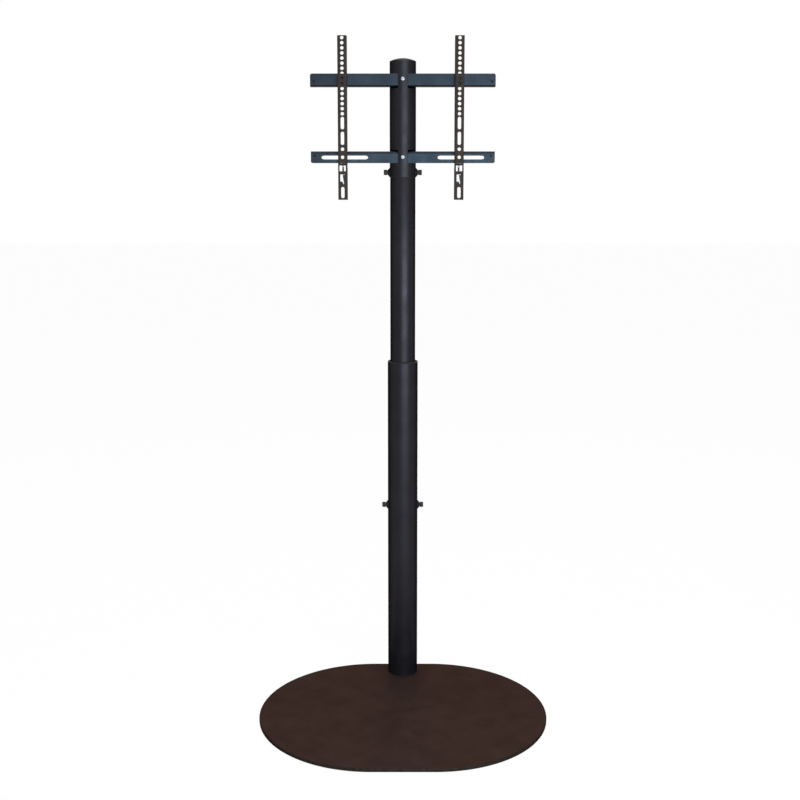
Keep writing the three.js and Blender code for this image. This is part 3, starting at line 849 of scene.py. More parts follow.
@dataclass(frozen=True)
class Metal:
    """Bare or plated metal: fine tool marks, handling clouds and a little tarnish.

    Args:
        name: The material's name.
        colour: Its colour in linear light.
        tarnish: The colour of its dull patches.
        roughness: Its middle roughness.
        mark_mm: The spacing of the tool marks.
        mark_scale: How they are drawn out along each axis.
        mark_bump: Their height, and how strongly they show.
        dull: The dull patches.
        handling: What hands add to the roughness.
    """

    name: str
    colour: Triple
    tarnish: Triple
    roughness: float
    mark_mm: float = 0.18
    mark_scale: Triple = (1.0, 6.0, 1.0)
    mark_bump: Pair = (0.01, 0.4)
    dull: Mottle = Mottle(4, 6, 0, 0.6, 0.5, 0.75)
    handling: Mottle = Mottle(1.5, 5, -0.06, 0.14)

    def material(self) -> bpy.types.Material:
        """Builds the material."""
        graph = Graph.of_material(self.name)
        shades = (shade(self.colour), shade(self.tarnish))
        marks = graph.noise(self.mark_mm, 2, graph.stretched(self.mark_scale))
        shader = graph.node(
            "BsdfPrincipled",
            {
                "Base Color": graph.mixed(graph.mottled(self.dull), *shades),
                "Roughness": graph.mottled(self.handling, self.roughness),
                "Metallic": 1.0,
                "Normal": graph.bump(marks, *self.mark_bump),
            },
        )
        return graph.finished(shader)


WARM_BLACK = (0.35, 0.25, 0.21)
# The plate's brown colour is mostly a painted warm reflection, seen at the glancing view, over a
# near-black coat.
PLATE_POWDER = PowderCoat(
    "plate_powder",
    (0.0445, 0.0272, 0.0228),
    0.42,
    flake=0.5,
    glancing=(0.36, 0.32, 0.3),
    pebble_mm=0.8,
    peel_mm=3.0,
    # The dark edge colour paints shade on the plate's rim, which the key lamp lights face on.
    rubbed=0.9,
    edge_colour=(0.012, 0.0122, 0.0114),
    patches=Mottle(7, 5, 0.6, 1, 0.45, 0.62),
)
TUBE_POWDER = PowderCoat(
    "tube_powder", (0.0205, 0.0193, 0.0222), 0.36, 0.72, WARM_BLACK, rubbed=0.04
)
# The bars' bluish colour is a painted reflection of cool light on a near-black coat.
BAR_POWDER = PowderCoat(
    "bar_powder", (0.0175, 0.0225, 0.0285), 0.38, 0.85, (0.95, 0.7, 0.55), rubbed=0.08
)
ARM_POWDER = PowderCoat("arm_powder", (0.031, 0.0225, 0.0185), 0.5, specular=0.05, rubbed=0.08)
PAD_RUBBER = Moulded("pad_rubber", (0.02, 0.02, 0.021), 0.85, 0.6, 0.03, 0.2)
BLACK_NYLON = Moulded("black_nylon", (0.012, 0.0115, 0.0115), 0.62, specular=0.15)
KNOB_PLASTIC = Moulded("knob_plastic", (0.033, 0.0245, 0.022), 0.5, specular=0.1)
WHITE_ZINC = Metal("white_zinc", (0.4, 0.42, 0.45), (0.27, 0.28, 0.3), 0.45)
TURNED_STEEL = Metal("turned_steel", (0.5, 0.5, 0.51), (0.3, 0.28, 0.27), 0.36)
BLACK_STEEL = Metal("black_steel", (0.02, 0.02, 0.021), (0.012, 0.011, 0.011), 0.5)

Finish = PowderCoat | Moulded | Metal


class Workshop:
    """Makes each piece's mesh, dresses it and sets it on its body."""

    weld_m = 2e-6
    tiny_m = 1e-7
    crease_degrees = 32.0
    bevel_degrees = 50.0
    bevel_segments = 2

    def __init__(self, nodes: dict[str, bpy.types.Object]) -> None:
        """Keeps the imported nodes.

        Args:
            nodes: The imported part's objects by name.
        """
        self.nodes = nodes
        self.materials: dict[str, bpy.types.Material] = {}
        self.dressed: set[str] = set()

    def material(self, finish: Finish) -> bpy.types.Material:
        """The finish's material, built once."""
        if finish.name not in self.materials:
            self.materials[finish.name] = finish.material()
        return self.materials[finish.name]

    def coat(self, node: str, finish: Finish) -> None:
        """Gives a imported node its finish, on its own shape.

        Args:
            node: The node's name.
            finish: What it is finished with.
        """
        slots = self.nodes[node].data.materials
        slots.clear()
        slots.append(self.material(finish))
        self.dressed.add(node)
        LOG.info("coated %s with %s", node, finish.name)

    def piece(
        self,
        node: str,
        surface: Surface,
        finish: Finish,
        body: str,
        edge_mm: float = 0.0,
    ) -> None:
        """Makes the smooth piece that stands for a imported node.

        Args:
            node: The node it stands for.
            surface: Its surface, in millimetres.
            finish: What it is finished with.
            body: The body it rides on.
            edge_mm: How far its sharp edges are eased, or 0 to leave them.
        """
        mesh = bpy.data.meshes.new(f"{node}_form")
        mesh.from_pydata(surface.points * MM, [], surface.faces)
        wear = mesh.attributes.new("wear", "FLOAT", "POINT")
        wear.data.foreach_set("value", surface.wear.astype(np.float32))
        form = bmesh.new()
        form.from_mesh(mesh)
        bmesh.ops.remove_doubles(form, verts=form.verts, dist=self.weld_m)
        bmesh.ops.dissolve_degenerate(form, edges=form.edges, dist=self.tiny_m)
        bmesh.ops.recalc_face_normals(form, faces=form.faces)
        form.to_mesh(mesh)
        form.free()
        mesh.shade_smooth()
        mesh.set_sharp_from_angle(angle=math.radians(self.crease_degrees))
        mesh.materials.append(self.material(finish))
        made = bpy.data.objects.new(f"{node}_form", mesh)
        bpy.context.scene.collection.objects.link(made)
        if edge_mm:
            bevel = made.modifiers.new("eased_edges", "BEVEL")
            bevel.width = edge_mm * MM
            bevel.segments = self.bevel_segments
            bevel.limit_method = "ANGLE"
            bevel.angle_limit = math.radians(self.bevel_degrees)
        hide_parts(node)
        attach(made, body)
        self.dressed.add(node)
        LOG.info("made %s, %d faces, %s", made.name, len(mesh.polygons), finish.name)


# Sub-assemblies


@dataclass(frozen=True)
class Places:
    """Heights and depths that several sub-assemblies share."""

    column_y: float = 247.5
    plate_foot: float = 2.0
    plate_top: float = 10.0
    lower_tube_top: float = 877.0
    mouth_top: float = 880.0
    mast_foot: float = 455.0
    mast_top: float = 1361.0
    head_foot: float = 1362.5
    head_top: float = 1655.0
    lower_clamp_z: float = 485.0
    head_clamp_z: float = 1375.0
    upper_bar: Pair = (1590.0, 1622.5)
    lower_bar: Pair = (1398.0, 1428.0)
    upper_screw_z: float = 1609.0
    lower_screw_z: float = 1413.0
    bar_slot_z: float = 1412.2
    bar_face: float = 247.5 + 0.3 - math.sqrt(32.0**2 - 12.5**2)
    bar_sheet: float = 3.0

    @property
    def bar_back(self) -> float:
        """The back of the bars' upright sheet."""
        return self.bar_face + self.bar_sheet


def tube_place(radius: float, wall: float, centre_y: float) -> Place:
    """How a rolled sheet lies round the column.

    The angle is s over the outer radius, counted from the front, and the radius falls by the wall
    times the depth: x is r sin a, y is the centre less r cos a, z is t.

    Args:
        radius: The tube's outer radius.
        wall: Its wall.
        centre_y: Its axis.

    Returns:
        The placing function.
    """

    def place(s: Array, t: Array, depth: float) -> Array:
        """The rolled sheet's point."""
        angle = s / radius
        reach = radius - depth * wall
        return np.stack([reach * np.sin(angle), centre_y - reach * np.cos(angle), t], axis=-1)

    return place


def folded(length: Array, flat: float, bend: float, inward: float) -> tuple[Array, Array]:
    """How far a sheet that folds once lies along its face and behind it.

    The length runs along the outer face, then round the bend by the angle a, then back along the
    flange. Depth in the sheet goes inward, along minus sin a and back cos a.

    Args:
        length: Lengths along the outer face.
        flat: Where the bend starts.
        bend: Its outer radius.
        inward: How far the points lie inside the outer face.

    Returns:
        The distances along the face and behind it.
    """
    quarter = bend * QUARTER_TURN
    angle = np.clip(length - flat, 0, quarter) / bend
    flange = np.maximum(length - flat - quarter, 0)
    along = np.minimum(length, flat) + (bend - inward) * np.sin(angle)
    return along, bend * (1 - np.cos(angle)) + flange + inward * np.cos(angle)


@dataclass(frozen=True)
class FloorPlate:
    """The obround plate, its rubber pads and the bolts that hold the column."""

    places: Places
    half_width: float = 365.0
    half_depth: float = 290.0
    edge_cut: float = 1.4
    bolt_reach: float = 25.0
    bolt_radius: float = 4.0
    sink_radius: float = 8.3
    sink_depth: float = 4.2
    pad_radius: float = 13.0
    pad_places: tuple[Pair, ...] = (
        (-75.0, -256.0),
        (75.0, -256.0),
        (-75.0, 256.0),
        (75.0, 256.0),
        (-331.0, 0.0),
        (331.0, 0.0),
    )
    side_points: int = 96
    side_samples: int = 2048
    top_rings: int = 8
    square_half: float = 30.0
    sink_lip: float = 0.3
    bolt_gap: float = 0.4
    bolt_rise: float = 9.0
    bolt_end: Pair = (0.5, 0.4)
    head_radius: float = 8.0
    head_rim: float = 0.3
    socket_half: float = 2.4
    socket_depth: float = 2.4
    pad_groove: float = 0.35
    groove_shares: Pair = (0.55, 0.6)

    def _square(self) -> Array:
        """The level square round the column, on the underside."""
        shape = Window(0.0, self.places.column_y, self.square_half, self.square_half, 0.0)
        x, y = rounded_outline(shape, even_shares(self.side_points))
        return level(x, y, self.places.plate_foot)

    def _outline(self, inset: float, height: float, places: Array | None = None) -> Array:
        """The plate's outline, drawn in and at a height.

        Args:
            inset: How far it is drawn in.
            height: Its height.
            places: Where its points lie, counted in close samples, or None for the samples.

        Returns:
            The points.
        """
        half_s, half_t = self.half_width - inset, self.half_depth - inset
        shape = Window(0.0, 0.0, half_s, half_t, half_t)
        x, y = rounded_outline(shape, even_shares(self.side_samples))
        if places is not None:
            samples = np.arange(len(x))
            x, y = (np.interp(places, samples, each, period=len(x)) for each in (x, y))
        return level(x, y, height)

    def _bearings(self, ring: Array) -> Array:
        """The direction of each point of a ring from the column, rising all the way round."""
        return np.unwrap(np.arctan2(ring[:, 1] - self.places.column_y, ring[:, 0]))

    def _facing(self) -> Array:
        """Where the outline has the same direction from the column as each point of the square.

        The outline's direction rises with its sample number, and is read backwards between
        samples. Lines between two rings so placed never cross.

        Returns:
            One place for each point, counted in samples.
        """
        known = self._bearings(self._outline(0.0, 0.0))
        samples = np.arange(len(known))
        turns = np.arange(-2, 3)[:, None]
        every = (samples + turns * len(known)).reshape(-1)
        directions = (known + turns * FULL_TURN).reshape(-1)
        return np.interp(self._bearings(self._square()), directions, every)

    def surface(self) -> Surface:
        """The plate: rings from the middle of its top, over its eased edge to its underside.

        Its outline is a rounded rectangle whose corner radius is half its depth. Rings on the top
        are that outline drawn in by even shares. The underside runs in, along lines that point to
        the column, to a square round it, which four square patches with a hole each fill.

        Returns:
            The surface.
        """
        foot, top, inset = self.places.plate_foot, self.places.plate_top, 2 * self.edge_cut
        edge = softened([[inset, top], [0, top], [0, foot], [inset, foot]], self.edge_cut, 5)
        facing = self._facing()
        rings = [self._outline(inset, height, facing) for inset, height in edge]
        inner = rings[0]
        middle = np.array([0.0, 0.0, top])
        shares = np.linspace(0, 1, self.top_rings, endpoint=False)[:, None, None]
        top_rings = middle + (inner - middle) * shares
        loops = np.concatenate([top_rings, np.stack(rings), self._square()[None]])
        # The eased edge is marked, and the plate's coat darkens it there: painted shade on the rim.
        at_edge = (edge[:, 0] < (self.edge_cut + inset) / 2).astype(float)
        rubbed = np.concatenate([np.zeros(len(top_rings)), at_edge, [0.0]])
        patches = [self._bolt_patch(across, along) for across in (-1, 1) for along in (-1, 1)]
        return Surface.joined([skin(loops, wear=rubbed), *patches])

    def _bolt_patch(self, across: int, along: int) -> Surface:
        """A square of the underside with its countersunk hole, closed by a cone at the top.

        Args:
            across: 1 on the right of the column and -1 on its left.
            along: 1 behind the column's axis and -1 in front of it.

        Returns:
            The surface.
        """
        quarter, reach = self.square_half / 2, self.bolt_reach / math.sqrt(2)
        middle = self.places.column_y
        square = Window(across * quarter, middle + along * quarter, quarter, quarter, 0.0)
        sink, bore, end = (
            Window.round_hole(across * reach, middle + along * reach, radius)
            for radius in (self.sink_radius, self.bolt_radius + self.bolt_gap, 0.0)
        )
        foot, lid = self.places.plate_foot, self.places.plate_top - self.bolt_gap
        lip = foot + self.sink_lip
        cone = lip + self.sink_depth
        rows = [(square, foot), (sink, foot), (sink, lip), (bore, cone), (bore, lid), (end, lid)]
        shares = even_shares(self.side_points // 2)
        return skin(np.stack([level(*rounded_outline(shape, shares), z) for shape, z in rows]))

    def pad(self, x: float, y: float) -> Surface:
        """A rubber pad: a flat disc with a rounded rim and a shallow groove under it."""
        radius, height, groove = self.pad_radius, self.places.plate_foot, self.pad_groove
        inner, outer = (radius * share for share in self.groove_shares)
        corners = [[0, groove], [inner, groove], [outer, 0], [radius, 0]]
        corners += [[radius, height], [0, height]]
        profile = softened(corners, [0, 0.2, 0.2, 0.5, 0.3, 0])
        return turned(profile, segments=48).moved(x, y)

    def bolt(self, x: float, y: float) -> Surface:
        """A countersunk bolt: a six-sided socket in a flat head, a cone and a shank."""
        around = angles(48)
        socket = self.socket_half * hexagon(around)
        foot, end = self.places.plate_foot + self.sink_lip, self.places.plate_top + self.bolt_rise
        in_by, up_by = self.bolt_end
        rows = [
            (0.0, foot + self.socket_depth),
            (socket, foot + self.socket_depth),
            (socket, foot),
            (self.head_radius - self.head_rim, foot),
            (self.head_radius, foot + self.head_rim),
            (self.bolt_radius, foot + self.sink_depth),
            (self.bolt_radius, end - up_by),
            (self.bolt_radius - in_by, end),
            (0.0, end),
        ]
        loops = np.stack([Axis.UP.place(radius, around, z) for radius, z in rows])
        return skin(loops).moved(x, y)

    def build(self, shop: Workshop) -> None:
        """Makes the plate, its pads and its bolts."""
        shop.piece("base_plate", self.surface(), PLATE_POWDER, "stand_base")
        for number, (x, y) in enumerate(self.pad_places, 1):
            name = f"base_pad_{number}"
            shop.piece(name, self.pad(x, y), PAD_RUBBER, "stand_base")
        for number in range(4):
            angle = (number + 0.5) * QUARTER_TURN
            x = self.bolt_reach * math.cos(angle)
            y = self.places.column_y + self.bolt_reach * math.sin(angle)
            name = f"foot_bolt_{number + 1}"
            shop.piece(name, self.bolt(x, y), BLACK_STEEL, "stand_base")


@dataclass(frozen=True)
class ClampScrew:
    """A welded boss, a threaded stud and a serrated knob on one side of a tube."""

    places: Places
    place: str
    side: Side
    parent: str
    z: float
    tube_radius: float
    inner_radius: float
    boss_height: float = 5.2
    boss_foot: float = 12.0
    boss_top: float = 7.0
    stud_radius: float = 4.0
    thread_pitch: float = 1.25
    thread_depth: float = 0.55
    knob_radius: float = 7.0
    knob_length: float = 9.9
    thread_shown: float = 0.5
    teeth: int = 18
    tooth_depth: float = 0.5
    boss_gap: float = 0.4
    foot_lip: Pair = (0.9, 0.26)
    neck: Pair = (0.1, 0.84)
    saddle_sink: float = 0.2
    worn_share: float = 0.9
    stud_gap: float = 0.3
    stud_in_knob: float = 6.0
    stud_tip: Pair = (0.8, 0.6)
    rows_per_pitch: int = 6
    knob_bore: float = 6.2
    knob_gap: float = 0.3
    knob_foot: Pair = (0.6, 0.5)
    knob_shoulder: Pair = (1.8, 0.3)
    dish: Triple = (2.6, 0.5, 0.7)
    grip: Pair = (1.4, 1.2)
    worn_depth: float = 1.0

    @property
    def axis(self) -> Axis:
        """The way the screw points outward."""
        return Axis.LEFTWARD if self.side is Side.LEFT else Axis.RIGHTWARD

    def boss(self) -> Surface:
        """The boss: a flared collar whose foot follows the tube.

        At share h of its height the radius follows the flare's profile, and the distance from the
        column's axis runs from the tube's own surface, the root of R squared less y squared, to
        the flat top. The bore goes back down the same way.

        Returns:
            The surface.
        """
        around = angles(64)[None, :]
        (lip, lip_share), (neck, neck_share) = self.foot_lip, self.neck
        flare = softened(
            [
                [self.boss_foot, 0.0],
                [self.boss_foot - lip, lip_share],
                [self.boss_top + neck, neck_share],
                [self.boss_top, 1.0],
                [self.stud_radius + self.boss_gap, 1.0],
                [self.stud_radius + self.boss_gap, 0.0],
            ],
            [0, 0.3, 0.4, 0.12, 0.12, 0],
            5,
        )
        radius, share = flare[:, :1], flare[:, 1:]
        sideways = self.axis.place(radius, around, 0.0)[..., 1]
        saddle = np.sqrt(self.tube_radius**2 - sideways**2) - self.saddle_sink
        top = self.tube_radius + self.boss_height
        height = saddle + share * (top - saddle)
        loops = self.axis.place(radius, around, height)
        rubbed = np.where(flare[:, 1] > self.worn_share, 1.0, 0.0)
        return skin(loops, ring=True, wear=rubbed)

    def stud(self) -> Surface:
        """The stud: a helical thread with blunt ends.

        Returns:
            The surface.
        """
        start = self.inner_radius + self.stud_gap
        end = self.tube_radius + self.boss_height + self.thread_shown + self.stud_in_knob
        in_by, up_by = self.stud_tip
        around = angles(32)[None, :]
        rows = int((end - start - 2 * up_by) / self.thread_pitch * self.rows_per_pitch)
        height = np.linspace(start + up_by, end - up_by, rows)[:, None]
        radius = threaded(
            self.stud_radius, self.thread_depth, self.thread_pitch, height, around
        )
        tip = np.full_like(radius[:1], self.stud_radius - in_by)
        radii = np.concatenate([tip * 0, tip, radius, tip, tip * 0])
        heights = np.concatenate([[[start], [start]], height, [[end], [end]]])
        return skin(self.axis.place(radii, around, heights * np.ones_like(radii)))

    def knob(self) -> Surface:
        """The knob: a serrated grip with a dished end and a bore for the stud.

        The radius at angle a is the profile's, less the serration's depth times the share
        (1 - cos(teeth a)) / 2 on the grip and nothing on the bore and the dish.

        Returns:
            The surface.
        """
        foot = self.tube_radius + self.boss_height + self.thread_shown
        tip = foot + self.knob_length
        reach = self.knob_radius
        bore, bottom = self.stud_radius + self.knob_gap, foot + self.knob_bore
        dish_edge, dish_lip, dish_depth = self.dish
        profile = softened(
            [
                [0.0, bottom],
                [bore, bottom],
                [bore, foot],
                [reach - self.knob_foot[0], foot],
                [reach, foot + self.knob_foot[1]],
                [reach, tip - self.knob_shoulder[1]],
                [reach - self.knob_shoulder[0], tip],
                [reach - dish_edge, tip - dish_lip],
                [0.0, tip - dish_depth],
            ],
            [0, 0, 0.3, 0.2, 0.2, 0.5, 0.4, 0.5, 0],
            5,
        )
        around = angles(self.teeth * 8)[None, :]
        radius, height = profile[:, :1], profile[:, 1:]
        grip = np.clip((radius - (reach - self.grip[0])) / self.grip[1], 0, 1)
        serrated = radius - self.tooth_depth * grip * (1 - np.cos(self.teeth * around)) / 2
        loops = self.axis.place(serrated, around, height * np.ones_like(serrated))
        rubbed = np.clip((profile[:, 0] - (reach - self.worn_depth)) / self.worn_depth, 0, 1)
        return skin(loops, wear=rubbed)

    def build(self, shop: Workshop) -> None:
        """Makes the boss, the stud and the knob."""
        at = {"y": self.places.column_y, "z": self.z}
        name = f"{self.place}_{self.side.word}"
        shop.piece(f"{name}_boss", self.boss().moved(**at), TUBE_POWDER, self.parent)
        body = f"{name}_clamp_screw"
        shop.piece(f"{name}_stud", self.stud().moved(**at), TURNED_STEEL, body)
        body = f"{name}_clamp_knob"
        shop.piece(f"{name}_knob", self.knob().moved(**at), KNOB_PLASTIC, body)


@dataclass(frozen=True)
class Column:
    """The two tubes that slide in one another, with their bushes and the spigot."""

    places: Places
    lower_radius: float = 40.0
    upper_radius: float = 33.0
    wall: float = 2.0
    clamp_hole: float = 4.6
    segments: int = 128
    hole_columns: int = 4
    row_step: float = 24.0
    end_row: float = 1.0
    bush_depth: float = 45.0
    bush_play: float = 0.3
    bush_gaps: Pair = (2.3, 0.3)
    ring_radii: Pair = (32.0, 33.4)

    def lower_tube(self) -> Surface:
        """The lower tube, rolled from a sheet with a round hole on each side."""
        radius = self.lower_radius
        around = FULL_TURN * radius
        step = around / self.segments
        z = self.places.lower_clamp_z
        s = np.arange(self.segments) * step - around / 2
        foot, top = self.places.plate_top, self.places.lower_tube_top
        reach = self.hole_columns * step
        near = np.linspace(z - reach, z + reach, 2 * self.hole_columns + 1)
        below = ruled([foot, foot + self.end_row, near[0]], self.row_step)
        above = ruled([near[-1], top - self.end_row, top], self.row_step)
        t = np.concatenate([below, near[1:-1], above])
        windows = tuple(
            Window.round_hole(side.value * around / 4, z, self.clamp_hole, (reach, reach))
            for side in Side
        )
        place = tube_place(radius, self.wall, self.places.column_y)
        sheet = Sheet(s, t, place, (), windows, around)
        return sheet.surface()

    def _ring(self, corners: Rows, cuts: Sequence[float] | float, steps: int) -> Surface:
        """A closed profile of radius and height, softened and turned round the column."""
        profile = softened(corners, cuts, steps, closed=True)
        return turned(profile, segments=self.segments, ring=True).moved(y=self.places.column_y)

    def upper_tube(self) -> Surface:
        """The upper tube: a ring profile turned round the column."""
        inner, outer = self.upper_radius - self.wall, self.upper_radius
        foot, top = self.places.mast_foot, self.places.mast_top
        return self._ring([[inner, foot], [outer, foot], [outer, top], [inner, top]], 0.4, 3)

    def guide_bush(self) -> Surface:
        """The black bush in the lower tube's mouth: a sleeve with a rounded collar."""
        inner = self.upper_radius + self.bush_play
        outer, lip = (self.lower_radius - gap for gap in self.bush_gaps)
        top, seat = self.places.mouth_top, self.places.lower_tube_top
        foot = seat - self.bush_depth
        corners = [[inner, foot], [outer, foot], [outer, seat], [lip, seat]]
        corners += [[lip, top], [inner, top]]
        return self._ring(corners, [0.3, 0.5, 0.1, 0.3, 1.6, 1.2], 6)

    def thrust_ring(self) -> Surface:
        """The nylon ring that the head turns on."""
        inner, outer = self.ring_radii
        foot, top = self.places.mast_top, self.places.head_foot
        return self._ring([[inner, foot], [outer, foot], [outer, top], [inner, top]], 0.25, 4)

    def build(self, shop: Workshop) -> None:
        """Makes the tubes, bushes and ring, and coats what they hide."""
        shop.piece("lower_tube", self.lower_tube(), TUBE_POWDER, "stand_base", 0.4)
        shop.piece("upper_tube", self.upper_tube(), TUBE_POWDER, "mast")
        shop.piece("guide_bush", self.guide_bush(), BLACK_NYLON, "stand_base")
        shop.piece("thrust_ring", self.thrust_ring(), BLACK_NYLON, "mast")
        shop.coat("glide_bush", BLACK_NYLON)
        shop.coat("foot_plug", TURNED_STEEL)
        shop.coat("spigot", TURNED_STEEL)
        for side in Side:
            z, radii = self.places.lower_clamp_z, (self.lower_radius, self.upper_radius)
            ClampScrew(self.places, "lower", side, "stand_base", z, *radii).build(shop)


@dataclass(frozen=True)
class PanScrew:
    """A pan-head screw with a cross recess, drawn with its head's seat at the origin."""

    shank: float
    head: float
    height: float
    length: float
    rim_share: float = 0.32
    arm_share: float = 0.11
    reach_share: float = 0.42
    recess_share: float = 0.62
    end_cut: float = 0.5

    def surface(self) -> Surface:
        """The screw.

        The head's height at radius r is its crown times the root of 1 less (r / R) to the fourth,
        and the recess is as deep as a smooth step from each arm of the cross, less towards its
        rim, so that it is deepest in the middle.

        Returns:
            The surface.
        """
        around = angles(64)[None, :]
        share = np.linspace(0.0, 1.0, 30)[:, None]
        rim = self.rim_share
        radius = self.head * share
        crown = self.height * (rim + (1 - rim) * np.sqrt(np.clip(1 - share**4, 0, 1)))
        across = np.minimum(np.abs(radius * np.cos(around)), np.abs(radius * np.sin(around)))
        arm = np.clip(1.6 - across / (self.arm_share * self.head), 0, 1)
        reach = np.clip(1.5 - radius / (self.reach_share * self.head), 0, 1)
        recess = self.recess_share * self.height * arm**2 * (3 - 2 * arm) * reach
        top = crown - recess
        dome = Axis.FORWARD.place(radius * np.ones_like(top), around, top)
        foot = turned(
            [
                [self.head, self.height * rim],
                [self.head, 0.0],
                [self.shank, 0.0],
                [self.shank, -self.length + self.end_cut],
                [self.shank - self.end_cut, -self.length],
                [0.0, -self.length],
            ],
            Axis.FORWARD,
            64,
        )
        return Surface.joined([skin(dome), foot])


@dataclass(frozen=True)
class FoldedBar:
    """A cross bar folded from 3 mm sheet, with one free edge and one folded back."""

    places: Places
    low: float
    high: float
    fold: Fold
    slots: tuple[Pair, ...] = ()
    slot_z: float = 0.0
    slot_half: float = 4.7
    half_length: float = 236.5
    sheet: float = 3.0
    bend: float = 6.0
    depth: float = 20.0
    corner: float = 5.0
    slot_room: float = 3.0
    cell_foot: float = 2.0
    cell_gap: float = 0.5
    end_row: float = 1.0
    steps: Triple = (6.0, 2.6, 5.0)

    @property
    def face(self) -> float:
        """The height of its flat face, from the free edge to the bend."""
        return self.high - self.low - self.bend

    @property
    def free(self) -> float:
        """The height of its free edge."""
        return self.low if self.fold is Fold.FOLD_AT_TOP else self.high

    def _place(self, s: Array, t: Array, depth: float) -> Array:
        """The folded sheet's point.

        t is the length from the free edge along the outer face. Near the bar's ends it starts at
        the rounded corner, r less the root of r squared less (x less its centre) squared.
        """
        past = np.clip(np.abs(s) - (self.half_length - self.corner), 0, self.corner)
        start = self.corner - np.sqrt(np.clip(self.corner**2 - past**2, 0, None))
        along, back = folded(np.maximum(t, start), self.face, self.bend, depth * self.sheet)
        z = self.free + self.fold.value * along
        return np.stack([s, self.places.bar_face + back, z], axis=-1)

    def surface(self) -> Surface:
        """The bar, folded, with its slots."""
        face, quarter = self.face, self.bend * QUARTER_TURN
        end = face + quarter + self.depth - self.bend
        middle = abs(self.slot_z - self.free)
        cell_t = (self.cell_foot, face - self.cell_gap)
        windows = []
        stops = [-self.half_length, self.half_length]
        for low, high in self.slots:
            cell = (low - self.slot_room, high + self.slot_room, *cell_t)
            stops += [cell[0], cell[1]]
            half = (high - low) / 2
            windows.append(
                Window((low + high) / 2, middle, half, self.slot_half, self.slot_half, cell)
            )
        rounding = self.corner * np.sin(np.linspace(0, QUARTER_TURN, 8))
        ends = self.half_length - self.corner + rounding
        s = np.unique(np.round(np.concatenate([ruled(stops, self.steps[0]), ends, -ends]), 5))
        t_face = ruled([0.0, self.end_row, *cell_t, self.corner, face], self.steps[1])
        t_bend = face + np.linspace(0, quarter, 9)[1:]
        t_flange = ruled([face + quarter, end], self.steps[2])[1:]
        t = np.concatenate([t_face, t_bend, t_flange])
        return Sheet(s, t, self._place, (), tuple(windows)).surface()


